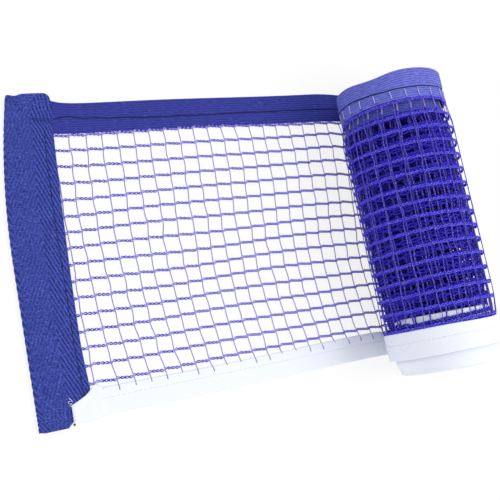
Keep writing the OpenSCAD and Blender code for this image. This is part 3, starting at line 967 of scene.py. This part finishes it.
class NET_OT_threads(bpy.types.Operator):
    """Lays the thin twisted threads that cross the cords"""

    bl_idname = "net.threads"
    bl_label = "Cross threads"

    def execute(self, context):
        lay = Lay(context.scene.net_sizes)
        s = lay.sizes
        flat_count = int((s.flat_length - STOP_SHORT) / s.cell) + 1
        outer_count = int(lay.inner_start / s.cell) + 1
        flat = thread_guides(lay, range(flat_count), 2 * MM)
        outer = thread_guides(lay, range(flat_count, outer_count), 2 * MM)
        inner = thread_guides(lay, range(outer_count, int(lay.end / s.cell) + 1), 2.5 * MM)
        slot = "thread_violet"
        twist = (2.2, 0.14, 0.08, 0.23, 0.37)
        spun("flat_cross_threads_twisted", flat, twist, "thread", slot, "flat_cross_threads")
        name = "outer_turn_cross_threads_twisted"
        spun(name, outer, twist, "thread_outside", slot, "rolled_cross_threads")
        spun("inner_turns_cross_threads_twisted", inner, (2.2, 0, 0, 0.52, 2.5), "thread", slot)
        return {"FINISHED"}


# ---------------- the tapes


def stations(lay, start, end, flat_step, roll_step):
    """Lengths along the net at which a tape is modelled."""

    def even(first, last, step):
        return np.linspace(first, last, max(2, int((last - first) / step)))

    flat_end = min(max(lay.sizes.flat_length, start), end)
    rolled = even(flat_end, end, roll_step)
    if flat_end > start:
        return np.concatenate([even(start, flat_end, flat_step)[:-1], rolled])
    return rolled


def hem_creep(along):
    """How far the hem's edge and the first cord creep away from the hem, beside the roll."""
    return 0.9 * MM * smooth_step(along, 80 * MM, 145 * MM)


def hem_lines(lay, along):
    """Inner edge, outer edge and seam of the hem tape at each length along it."""
    flat = 1 - lay.wound(along, 25 * MM, 0)
    wave = wander(along / (24 * MM), 0 * along, 31)
    pulled = 2.6 * MM * np.exp(-np.clip(along, 0, None) / (5 * MM)) * flat
    outer = lay.hem_outer + (0.35 * MM * wave - 0.3 * MM) * flat + pulled
    edge = 0.35 * MM * wander(along / (20 * MM), 1 + 0 * along, 33) - 0.5 * MM - hem_creep(along)
    inner = lay.hem_inner + edge * flat + 0.25 * pulled
    ripple = 0.22 * MM * wander(along / (3.2 * MM), 0 * along, 34)
    lift = 1.2 * MM * bump(along, 9 * MM, 7 * MM) - 1.1 * MM * smooth_step(along, 20 * MM, 60 * MM)
    dip = 1.6 * MM * bump(along, lay.starts[1], 30 * MM)
    return inner, outer, lay.hem_seam + ripple + lift * flat - dip


def hem_face(lay):
    """Depth of the hem's front and back faces, which leave room at the back for thread ends."""
    s = lay.sizes
    shelf = s.thread_thickness + s.layer_gap
    end = lay.hem_seam - 0.5 * MM

    def face(along, across):
        back = shelf * (1 - smooth_step(across, end - 0.4 * MM, end + 0.8 * MM))
        front = lay.net + 0 * across
        near = np.clip(along, 0, None)
        # the tape stands up a little where it comes out from under the sleeve
        swell = 0.9 * MM * np.exp(-near / (7 * MM)) * (along < s.flat_length)
        return front + swell * 0.8, back + swell * 0.3

    return face


# the stretches of a tape in the CAD that its two pieces stand for
TAPE_TURNS = (("flat", "outer_turn"), ("inner_turns",))


def laid_tape(lay, names, lines, face, weave, runs, seam):
    """Lays a tape in two pieces, for the flat net with the outer turn and for the turns inside.

    names are those of the tape, of its CAD nodes and of its seam. lines and face give its
    places and depths. weave is its finish, material slot and ribs. Each of the two runs is
    a start, an end, the columns across and the steps on the flat net and on the roll. seam
    is where it starts, how deep it lies, its stitches, their seed and their finish.
    """
    name, node, seam_name = names
    look, slot, ribs = weave
    first, inset, stitch, seed, thread = seam
    made = []
    for part, turns, (start, end, columns, *steps) in zip(("outer", "inner"), TAPE_TURNS, runs):
        along = stations(lay, start, end, *steps)
        places = lines(lay, along)
        piece = tape_piece(f"{name}_{part}", lay, along, places, face(lay), look, ribs, columns)
        made.append(ride_for(piece, slot, *(f"{turn}_{node}" for turn in turns)))
    # the flat tape shows its front, and on the outer turn its back
    ends = (first, lay.sizes.flat_length, lay.inner_start)
    for turn, side, start, end in zip(TAPE_TURNS[0], (1, -1), ends, ends[1:]):
        along = np.arange(start, end, 1 * MM)
        across = lines(lay, along)[2]
        front, back = face(lay)(along, across)
        depth = front - inset if side > 0 else back + inset
        way = guide(lay, along, across, depth, outward=side)
        seam_node = f"{turn}_{seam_name}"
        sewn(f"{seam_node}_stitches", [way], stitch, seed, thread, seam_node)
    return made


class NET_OT_hem(bpy.types.Operator):
    """Weaves the ribbed blue hem tape and sews its dark seam"""

    bl_idname = "net.hem"
    bl_label = "Blue hem tape"

    def execute(self, context):
        lay = Lay(context.scene.net_sizes)
        start = float(net_start(lay.hem_inner))
        made = laid_tape(
            lay,
            names=("hem_tape", "bottom_hem", "hem_seam"),
            lines=hem_lines,
            face=hem_face,
            weave=("hem", "hem_blue", (1.25 * MM, 0.14 * MM, 0.28 * MM)),
            runs=(
                (start, lay.inner_start, 97, 2 * MM, 1.6 * MM),
                (lay.inner_start, lay.end, 49, 3 * MM, 2.6 * MM),
            ),
            seam=(2.5 * MM, 0.12 * MM, (2.3, 2.2, 0.24, 0.12, 0.1), 4, "navy"),
        )
        # the turns inside are painted in shade: the back faces that show there keep most of the front's
        # deeper tone, for the shade of the turns round them
        inside = made[1].data
        tone = np.repeat([0.0, 0.35], len(inside.vertices) // 2).astype(np.float32)
        inside.attributes["back"].data.foreach_set("value", tone)
        return {"FINISHED"}


def tape_lines(lay, along):
    """Inner edge, outer edge and seam of the white tape at each length along it."""
    flat = 1 - lay.wound(along, 25 * MM, 0)
    wave = wander(along / (30 * MM), 0 * along, 41)
    # its corner is cut on the slant where it laps over the sleeve
    slant = 0.45 * np.clip(-along, 0, None)
    edge = 0.5 * MM * wave + 0.4 * MM + 2.0 * MM * bump(along, 0, 3 * MM)
    inner = lay.tape_inner + edge * flat - slant
    # on the outer turn it creeps up to the last cord, most of all at the roll's right
    inner = inner + 2.0 * MM * bump(along, lay.sizes.flat_length + 53 * MM, 26 * MM)
    left_side = smooth_step(along, lay.starts[1] - 20 * MM, lay.starts[1] + 20 * MM)
    inner = inner + 1.3 * MM * left_side * (1 - lay.within(along, 30 * MM, 0))
    wave = 0.3 * MM * wander(along / (26 * MM), 2 + 0 * along, 43)
    outer = lay.tape_outer + (wave - 0.9 * MM * bump(along, -8 * MM, 12 * MM)) * flat
    return inner, outer, lay.tape_seam + 0.15 * MM * wander(along / (4 * MM), 0 * along, 44)


def tape_face(lay):
    """Depth of the white tape's faces, which rise over the sleeve's corner at its end."""
    s = lay.sizes
    sleeve = lay.net + 2 * s.layer_gap + s.sleeve_wall

    def face(along, across):
        over = (1 - smooth_step(along, -2.5 * MM, 4 * MM)) * (along < s.flat_length)
        uneven = 0.25 * MM * (1 + wander(along / (4 * MM), across / (5 * MM), 47))
        lift = over * (sleeve + 0.35 * MM + uneven)
        return 1.3 * MM + lift + 0 * across, lift + 0.12 * MM * over + 0 * across

    return face


class NET_OT_tape(bpy.types.Operator):
    """Weaves the white top tape, which laps over the sleeve's corner, and sews its seam"""

    bl_idname = "net.tape"
    bl_label = "White tape"

    def execute(self, context):
        lay = Lay(context.scene.net_sizes)
        start = -lay.sizes.tape_flap - 1.9 * MM
        laid_tape(
            lay,
            names=("top_tape", "top_tape", "tape_seam"),
            lines=tape_lines,
            face=tape_face,
            weave=("tape", "tape_white", (1.15 * MM, 0.015 * MM, 0.08 * MM)),
            runs=(
                (start, lay.inner_start, 67, 1.2 * MM, 1.8 * MM),
                (lay.inner_start, lay.end, 37, 3 * MM, 2.6 * MM),
            ),
            seam=(3 * MM, 0.1 * MM, (2.6, 2.0, 0.2, 0.1, 0.06), 6, "white"),
        )
        return {"FINISHED"}


# ---------------- the sleeves

# the flat sleeve's two ends and the seams across them, in the net's lengths
SLEEVE_TOP = 21.2 * MM
SLEEVE_BOTTOM = -137.9 * MM
UPPER_SEAM = 16 * MM
LOWER_SEAM = -133 * MM
# where the hem's seam meets the sleeve
PINCH = 8 * MM
# the twill's ridges, and the width between two chevron lines
TWILL_PITCH = 1.6 * MM
TWILL_SLANT = math.radians(23.5)
CHEVRON = 12.6 * MM
UP = (0.0, 0.0, 1.0)


def sleeve_edges(across):
    """Left and right edges of the flat sleeve at places across the net."""
    left = -26.9 * MM + 8.3 * MM * np.clip((across + 60 * MM) / (81.6 * MM), 0, 1.1) ** 2
    share = np.clip((across + 100 * MM) / (115 * MM), 0, 1.1)
    right = -3 * MM + 4.2 * MM * share - 0.6 * MM * np.sin(math.pi * np.clip(share, 0, 1))
    right = right + 0.9 * MM * smooth_step(-across, 100 * MM, 128 * MM)
    right = right - 1.5 * MM * bump(across, 6.8 * MM, 1.6 * MM)
    return left, right


def front_relief(x, y, share, ends, seam_x):
    """How far the flat sleeve's front stands off its back: swollen, creased and sewn.

    share runs across the front from 0 to 1, and ends falls to 0 at the sleeve's two ends.
    """
    swell = 0.95 * MM * np.sin(math.pi * np.clip(share * 1.08, 0, 1)) ** 0.8 * (0.45 + 0.55 * ends)
    uneven = 0.28 * MM * wander(x / (7 * MM), y / (14 * MM), 51) * np.sin(math.pi * share) ** 0.5
    # the front stands off the tape at its edge beside the hem
    edge = 0.5 * MM * smooth_step(share, 0.75, 1) * smooth_step(y, 0, 4 * MM)
    # the hem's seam pulls a short crease across the edge, and folds fan out from it
    crease = 1.25 * MM * bump(y, PINCH, 0.75 * MM) * smooth_step(x, -9.5 * MM, -7 * MM)
    folds = np.sin((y - PINCH) / (1.15 * MM) - (x + 8 * MM) / (3.5 * MM))
    fan = 0.16 * MM * folds * bump(y, PINCH, 7 * MM) * smooth_step(x, -9 * MM, -4 * MM)
    # the long seam beside the edge
    groove = 0.5 * MM * bump(x, seam_x, 0.55 * MM) * smooth_step(-y, -3 * MM, 1 * MM)
    # bands at the ends, where the cloth is turned in and sewn
    upper = UPPER_SEAM + 1.6 * MM * share
    band = smooth_step(y, upper - 0.3 * MM, upper + 0.5 * MM)
    band = band + smooth_step(-y, -LOWER_SEAM - 0.3 * MM, -LOWER_SEAM + 0.5 * MM)
    band = 0.3 * MM * band * np.sin(math.pi * np.clip(0.04 + share, 0, 1)) ** 0.3
    sunk = 0.3 * MM * (bump(y, upper, 0.45 * MM) + bump(y, LOWER_SEAM, 0.45 * MM))
    return swell + uneven + edge - crease + fan - groove + band - sunk


def end_outline(t, x, left, right):
    """How far the cut ends of the flat sleeve stray along it. t is 0 at its top, 1 at its foot."""
    corner = np.clip((x - right) / (3.4 * MM) + 1, 0, 1)
    top = 0.15 * MM * wander(x / (3 * MM), 0 * x, 53) - 0.9 * MM * bump(x, -15 * MM, 2.2 * MM)
    top = top - 3.4 * MM * (1 - np.sqrt(1 - corner**2))
    corner = 1 - np.clip((x - left) / (2.2 * MM), 0, 1)
    bottom = 1.6 * MM * (1 - np.sqrt(1 - corner**2)) + 0.95 * np.clip(x + 14.5 * MM, 0, 9 * MM)
    return top * smooth_step(1 - t, 0.93, 1) + bottom * smooth_step(t, 0.9, 1)


def twill_count(across, ridge, along):
    """Count of twill ridges at a place of the cloth. They turn back at ridge and each CHEVRON."""
    from_ridge = np.abs((across - ridge + CHEVRON) % (2 * CHEVRON) - CHEVRON)
    return (along * math.sin(TWILL_SLANT) + from_ridge * math.cos(TWILL_SLANT)) / TWILL_PITCH


def arc_lengths(points):
    """Length along each row of a grid of points, from its first column."""
    steps = np.linalg.norm(np.diff(points, axis=1), axis=2)
    return np.concatenate([np.zeros((len(points), 1)), np.cumsum(steps, 1)], 1)


def twill_cloth(name, middle, probe, outward, halves, relief, place, count, chevron):
    """A sleeve of herringbone twill from its middle surface, and the points of its outside.

    The outside is where the normal at the point probe points outward. halves are the
    thickness from the middle to the outside and to the inside.
    """
    normal = np.cross(np.gradient(middle, axis=0), np.gradient(middle, axis=1))
    normal /= np.linalg.norm(normal, axis=2)[:, :, None]
    if normal[probe] @ outward < 0:
        normal = -normal
    outside = middle + normal * (halves[0] + relief * np.sin(2 * math.pi * count))[:, :, None]
    outside[:, :, 2] = np.maximum(outside[:, :, 2], 0)
    made = cloth(name, outside, middle - normal * halves[1], place, finish("twill"))
    for label, values in (("twill", count), ("chevron", chevron)):
        data = np.tile(values.ravel(), 2).astype(np.float32)
        made.data.attributes.new(label, "FLOAT", "POINT").data.foreach_set("value", data)
    return made, outside


def even_guide(points, across, outward=UP):
    """A guide line of grown() with the same directions all along."""
    n = len(points)
    return points, np.tile(np.array(across, float), (n, 1)), np.tile(outward, (n, 1)), np.arange(n) / 8


class NET_OT_outer_sleeve(bpy.types.Operator):
    """Folds the flat end sleeve, with its herringbone twill, its creases and its seams"""

    bl_idname = "net.outer_sleeve"
    bl_label = "Flat sleeve"

    def execute(self, context):
        lay = Lay(context.scene.net_sizes)
        s = lay.sizes
        wall = s.sleeve_wall
        fold = (lay.net + 2 * s.layer_gap) / 2
        # points down the sleeve, and across its back layer, fold and front layer
        rows, under, bend, over = 330, 30, 9, 62
        t = np.linspace(0, 1, rows)[:, None]
        line = SLEEVE_TOP + (SLEEVE_BOTTOM - SLEEVE_TOP) * t
        left, right = sleeve_edges(line)
        # across the cloth: back layer, fold and front layer
        turn = np.linspace(0, math.pi, bend + 2)[1:-1][None, :]
        share = np.linspace(0, 1, over)[None, :]
        x_back = left + fold + (right - s.sleeve_lap - left - fold) * np.linspace(1, 0, under)[None, :]
        x_bend = left + fold - fold * np.sin(turn)
        x_front = left + fold + (right - left - fold) * share
        z_bend = wall / 2 + fold - fold * np.cos(turn) + 0 * t
        seam_x = right - 4.6 * MM + 1.4 * MM * smooth_step(-line, 10 * MM, 100 * MM)
        seam_x = seam_x + 0.6 * MM * smooth_step(line, -8 * MM, 4 * MM)
        ends = np.clip(np.minimum(t, 1 - t) * s.sleeve_length / (14 * MM), 0, 1) ** 0.5
        relief = front_relief(x_front, line + 0 * x_front, share, ends, seam_x)
        shift = end_outline(t, x_front, left, right)
        shift_back = np.stack([np.interp(x_back[i], x_front[i], shift[i]) for i in range(rows)])
        shift = np.concatenate([shift_back, np.repeat(shift[:, :1], bend, 1), shift], 1)
        origin_x = lay.axis_x - s.flat_length
        x = np.concatenate([x_back, x_bend, x_front], 1) + origin_x
        z = np.concatenate([wall / 2 + 0 * x_back, z_bend, wall / 2 + 2 * fold + relief], 1)
        middle = np.stack([x, line + shift + lay.first_y, z], -1)
        from_right = arc_lengths(middle[:, ::-1])[:, ::-1]
        ridge = 0.45 * (right - left)
        # the twill runs the other way, and lower, in every second band
        chevron = np.where((from_right - ridge) % (2 * CHEVRON) < CHEVRON, -1.0, 1.0)
        chevron = np.where(from_right < ridge, 1.0, chevron)
        made, outside = twill_cloth(
            "outer_sleeve_cloth",
            middle,
            probe=(rows // 2, -over // 2),
            outward=UP,
            halves=(wall / 2, wall / 2 - 0.05 * MM),
            relief=0.11 * MM * np.where(chevron > 0, 1.0, 0.55),
            place=np.stack([from_right, line + 0 * x], -1),
            count=twill_count(from_right, ridge, line + shift),
            chevron=chevron,
        )
        ride_for(made, "twill_blue", "outer_sleeve")

        def on_front(x, y, lift=0.02 * MM):
            """Places on the sleeve's front face above points of the plan."""
            row = np.round((SLEEVE_TOP - y) / (SLEEVE_TOP - SLEEVE_BOTTOM) * (rows - 1))
            face = outside[np.clip(row.astype(int), 0, rows - 1), -over:]
            z = np.array([np.interp(a, f[:, 0], f[:, 2]) for a, f in zip(x + origin_x, face)])
            return np.stack([x + origin_x, y + lay.first_y, z + lift], -1)

        run = np.arange(1.5 * MM, -125 * MM, -1 * MM)
        beside = np.interp(run, line[::-1, 0], seam_x[::-1, 0])
        pinch = np.arange(-8.8 * MM, 0.6 * MM, 1 * MM)
        long_seam = [
            even_guide(on_front(beside, run), (1, 0, 0)),
            even_guide(on_front(pinch, PINCH + 0.1 * MM - 0.03 * pinch, 0.1 * MM), (0, 1, 0)),
        ]
        stitch = (2.4, 2.1, 0.26, 0.14, 0.1)
        name = "outer_sleeve_seam"
        seams = [sewn(f"{name}_stitches", long_seam, stitch, 9, "navy", name)]
        upper_x = np.arange(-17.5 * MM, 0, 1 * MM)
        upper = UPPER_SEAM + 1.6 * MM * (upper_x + 19 * MM) / (20 * MM)
        lower_x = np.arange(-25.3 * MM, -12.3 * MM, 1 * MM)
        end_seams = [
            even_guide(on_front(upper_x, upper), (0, 1, 0)),
            even_guide(on_front(lower_x, LOWER_SEAM + 0 * lower_x), (0, 1, 0)),
        ]
        stitch = (2, 1.7, 0.16, 0.14, 0.05)
        nodes = "outer_sleeve_end_seams"
        seams.append(sewn("outer_sleeve_end_stitches", end_seams, stitch, 9, "sky", nodes))
        return {"FINISHED"}


class NET_OT_inner_sleeve(bpy.types.Operator):
    """Coils the other sleeve in the middle of the roll"""

    bl_idname = "net.inner_sleeve"
    bl_label = "Coiled sleeve"

    def execute(self, context):
        lay = Lay(context.scene.net_sizes)
        s = lay.sizes
        wall = s.sleeve_wall
        total = lay.net + 2 * s.layer_gap + wall
        fold = (total - wall) / 2
        low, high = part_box("inner_sleeve")
        radius = lay.radii[-1] - lay.net - s.turn_gap
        r_out, r_mid, r_in = radius - wall / 2, radius - total / 2, radius - total + wall / 2
        # points down the sleeve, and round each layer and the fold
        rows, layer, bend = 90, 46, 7
        y = np.linspace(high.y, low.y, rows)[:, None]
        # round the coil: outer layer, fold and inner layer
        sweep = s.sleeve_width / r_mid
        a_out = np.linspace(0.3 * MM / r_out, sweep - fold / r_out, layer)
        turn = np.linspace(0, math.pi, bend + 2)[1:-1]
        a = np.concatenate([a_out, a_out[-1] + fold * np.sin(turn) / r_mid, a_out[::-1]])
        r = np.concatenate([np.full(layer, r_out), r_mid + fold * np.cos(turn), np.full(layer, r_in)])
        a = a + 0 * y
        uneven = 0.12 * MM * wander(a * 2.3, y / (16 * MM), 61)
        r = r + uneven * np.sin(math.pi * np.clip(a / sweep, 0, 1))

        def coiled(angle, radius, y):
            """Places at angles and radii round the roll's axis."""
            x = lay.axis_x + radius * np.cos(angle)
            return np.stack([x, y + 0 * x, lay.heights[-1] - radius * np.sin(angle)], -1)

        middle = coiled(a, r, y)
        probe = (rows // 2, 2)
        run = arc_lengths(middle)
        half = wall / 2 - 0.04 * MM
        made, _ = twill_cloth(
            "inner_sleeve_cloth",
            middle,
            probe=probe,
            outward=(np.cos(a[probe]), 0, -np.sin(a[probe])),
            halves=(half, half),
            relief=0.08 * MM,
            place=np.stack([run, y + 0 * a], -1),
            count=twill_count(run, 10.5 * MM, y + 0 * a),
            chevron=np.ones_like(run),
        )
        ride_for(made, "twill_blue", "inner_sleeve")
        y = np.arange(low.y + 4.5 * MM, high.y - 4.5 * MM, 1 * MM)
        r_seam = radius - total - 0.02 * MM
        angle = s.sleeve_lap / r_seam + 0 * y
        inward = np.array([-math.cos(angle[0]), 0, math.sin(angle[0])])
        seam = even_guide(coiled(angle, r_seam, y), np.cross(inward, (0, 1, 0)), inward)
        stitch = (2.4, 2.0, 0.22, 0.1, 0.05)
        seam = sewn("inner_sleeve_seam_stitches", [seam], stitch, 12, "navy", "inner_sleeve_seam")
        return {"FINISHED"}


def thread_loop(lay, along, across, depth, width, reach, lean, share):
    """A loop of thread that starts near a point of the flat net. Its lengths are in mm."""
    angle = 2 * math.pi * share * np.linspace(0, 1, 24)[:, None]
    sweep = [width * np.sin(angle), reach * (1 - np.cos(angle)) / 2, 0.3 * np.sin(angle / 2)]
    cos, sin = math.cos(lean), math.sin(lean)
    turned = np.array(((cos, sin, 0), (-sin, cos, 0), (0, 0, 1)))
    base = lay.point(along * MM, across * MM, depth * MM)
    return even_guide(base + MM * np.concatenate(sweep, 1) @ turned, (0, 1, 0))


class NET_OT_trim(bpy.types.Operator):
    """Leaves loose thread ends where the white tape was cut"""

    bl_idname = "net.trim"
    bl_label = "Loose thread ends"

    def execute(self, context):
        lay = Lay(context.scene.net_sizes)
        # each loop's place along, across and above the net, its width and reach in mm,
        # its lean, and the share of a whole loop that it makes
        white = (
            (-11.3, -127.2, 2.9, 0.55, 1.9, 1.2, 1),
            (-11.1, -127.9, 2.9, 0.45, 1.5, 1.9, 1),
            (-11.2, -126.9, 3.1, 0.3, 2.3, 0.6, 0.55),
            (0.4, -122.0, 1.5, 0.5, 2.1, -0.5, 0.8),
            (3.5, -123.9, 1.4, 0.2, 1.6, -1.0, 0.5),
        )
        navy = (
            (-11.2, -136.6, 0.9, 0.35, 0.9, 2.6, 1),
            (-11.1, -136.8, 1.1, 0.25, 0.8, 1.5, 1),
            (-11.4, -127.4, 2.8, 0.2, 1.5, 1.5, 0.5),
        )
        ends = (("tape_end_threads", white, 0.13, "white"), ("sleeve_knot", navy, 0.2, "navy"))
        for name, loops, radius, look in ends:
            lines = [thread_loop(lay, *loop) for loop in loops]
            spun(name, lines, (1, 0, 0, radius, 0.25), look, f"seam_{look}", sides=6)
        return {"FINISHED"}


# ---------------- the stage

# name, place, size and power of each light, which faces the net's middle
LIGHTS = (
    ("Overhead softbox", (0.8, -0.2, 1.15), 0.9, 9.0),
    ("Side softbox", (-0.9, -0.35, 1.0), 0.8, 2.0),
)
WORLD_LIGHT = 0.8
FLOOR_SIZE = 6
# the camera looks down on the net from its sleeve's side, with the blue hem at the top
CAMERA_PLACE = Vector((-0.16233, -0.05850, 0.35343))
CAMERA_TARGET = Vector((0.00135, -0.00504, 0.0))
CAMERA_UP = Vector((0.1217, 0.9715, 0.2033))
LENS_MM = 53.99
SENSOR_MM = 36


class NET_OT_stage(bpy.types.Operator):
    """Sets the pale floor, the soft lights and the camera"""

    bl_idname = "net.stage"
    bl_label = "Stage"

    def execute(self, context):
        scene = context.scene
        bpy.ops.mesh.primitive_plane_add(size=FLOOR_SIZE)
        floor = context.object
        floor.name = "stage_floor"
        floor.data.materials.append(finish("floor"))
        world = bpy.data.worlds.new("Pale studio")
        world.use_nodes = True
        tree = world.node_tree
        tree.nodes.clear()
        light = add(tree, "ShaderNodeBackground", WHITE, WORLD_LIGHT)
        white = add(tree, "ShaderNodeBackground", WHITE, 1)
        mix = add(tree, "ShaderNodeMixShader", seen_directly(tree), light, white)
        add(tree, "ShaderNodeOutputWorld", mix)
        scene.world = world
        for name, place, size, power in LIGHTS:
            lamp = bpy.data.lights.new(name, "AREA")
            lamp.shape, lamp.size, lamp.energy = "SQUARE", size, power
            made = bpy.data.objects.new(name, lamp)
            made.location = place
            made.rotation_euler = (-Vector(place)).to_track_quat("-Z", "Y").to_euler()
            scene.collection.objects.link(made)
        camera = bpy.data.objects.new("Camera", bpy.data.cameras.new("Camera"))
        scene.collection.objects.link(camera)
        back = (CAMERA_PLACE - CAMERA_TARGET).normalized()
        right = CAMERA_UP.cross(back).normalized()
        turned = Matrix((right, back.cross(right), back)).transposed().to_4x4()
        camera.matrix_world = Matrix.Translation(CAMERA_PLACE) @ turned
        camera.data.lens = LENS_MM
        camera.data.sensor_width = SENSOR_MM
        camera.data.clip_start = 0.01
        camera.data.clip_end = 20
        scene.camera = camera
        scene.view_settings.view_transform = "Standard"
        return {"FINISHED"}


OPERATORS = (
    NET_OT_stage,
    NET_OT_cords,
    NET_OT_threads,
    NET_OT_hem,
    NET_OT_tape,
    NET_OT_outer_sleeve,
    NET_OT_inner_sleeve,
    NET_OT_trim,
)


class NET_PT_panel(bpy.types.Panel):
    """Lists the net's pieces, sizes and colours"""

    bl_idname = "NET_PT_panel"
    bl_label = "Table tennis net"
    bl_space_type = "VIEW_3D"
    bl_region_type = "UI"
    bl_category = "Net"

    def draw(self, context):
        for operator in OPERATORS:
            self.layout.operator(operator.bl_idname)
        for group in (context.scene.net_sizes, context.scene.net_colours):
            column = self.layout.column()
            for name in type(group).__annotations__:
                column.prop(group, name)


CLASSES = (NetSizes, NetColours, *OPERATORS, NET_PT_panel)


def register():
    """Adds the classes and the scene's settings."""
    for made in CLASSES:
        bpy.utils.register_class(made)
    bpy.types.Scene.net_sizes = bpy.props.PointerProperty(type=NetSizes)
    bpy.types.Scene.net_colours = bpy.props.PointerProperty(type=NetColours)


def unregister():
    """Takes them away again."""
    del bpy.types.Scene.net_colours
    del bpy.types.Scene.net_sizes
    for made in reversed(CLASSES):
        bpy.utils.unregister_class(made)


def main():
    """Builds the net round its frame."""
    register()
    for operator in OPERATORS:
        group, name = operator.bl_idname.split(".")
        getattr(getattr(bpy.ops, group), name)()


if __name__ == "__main__":
    main()
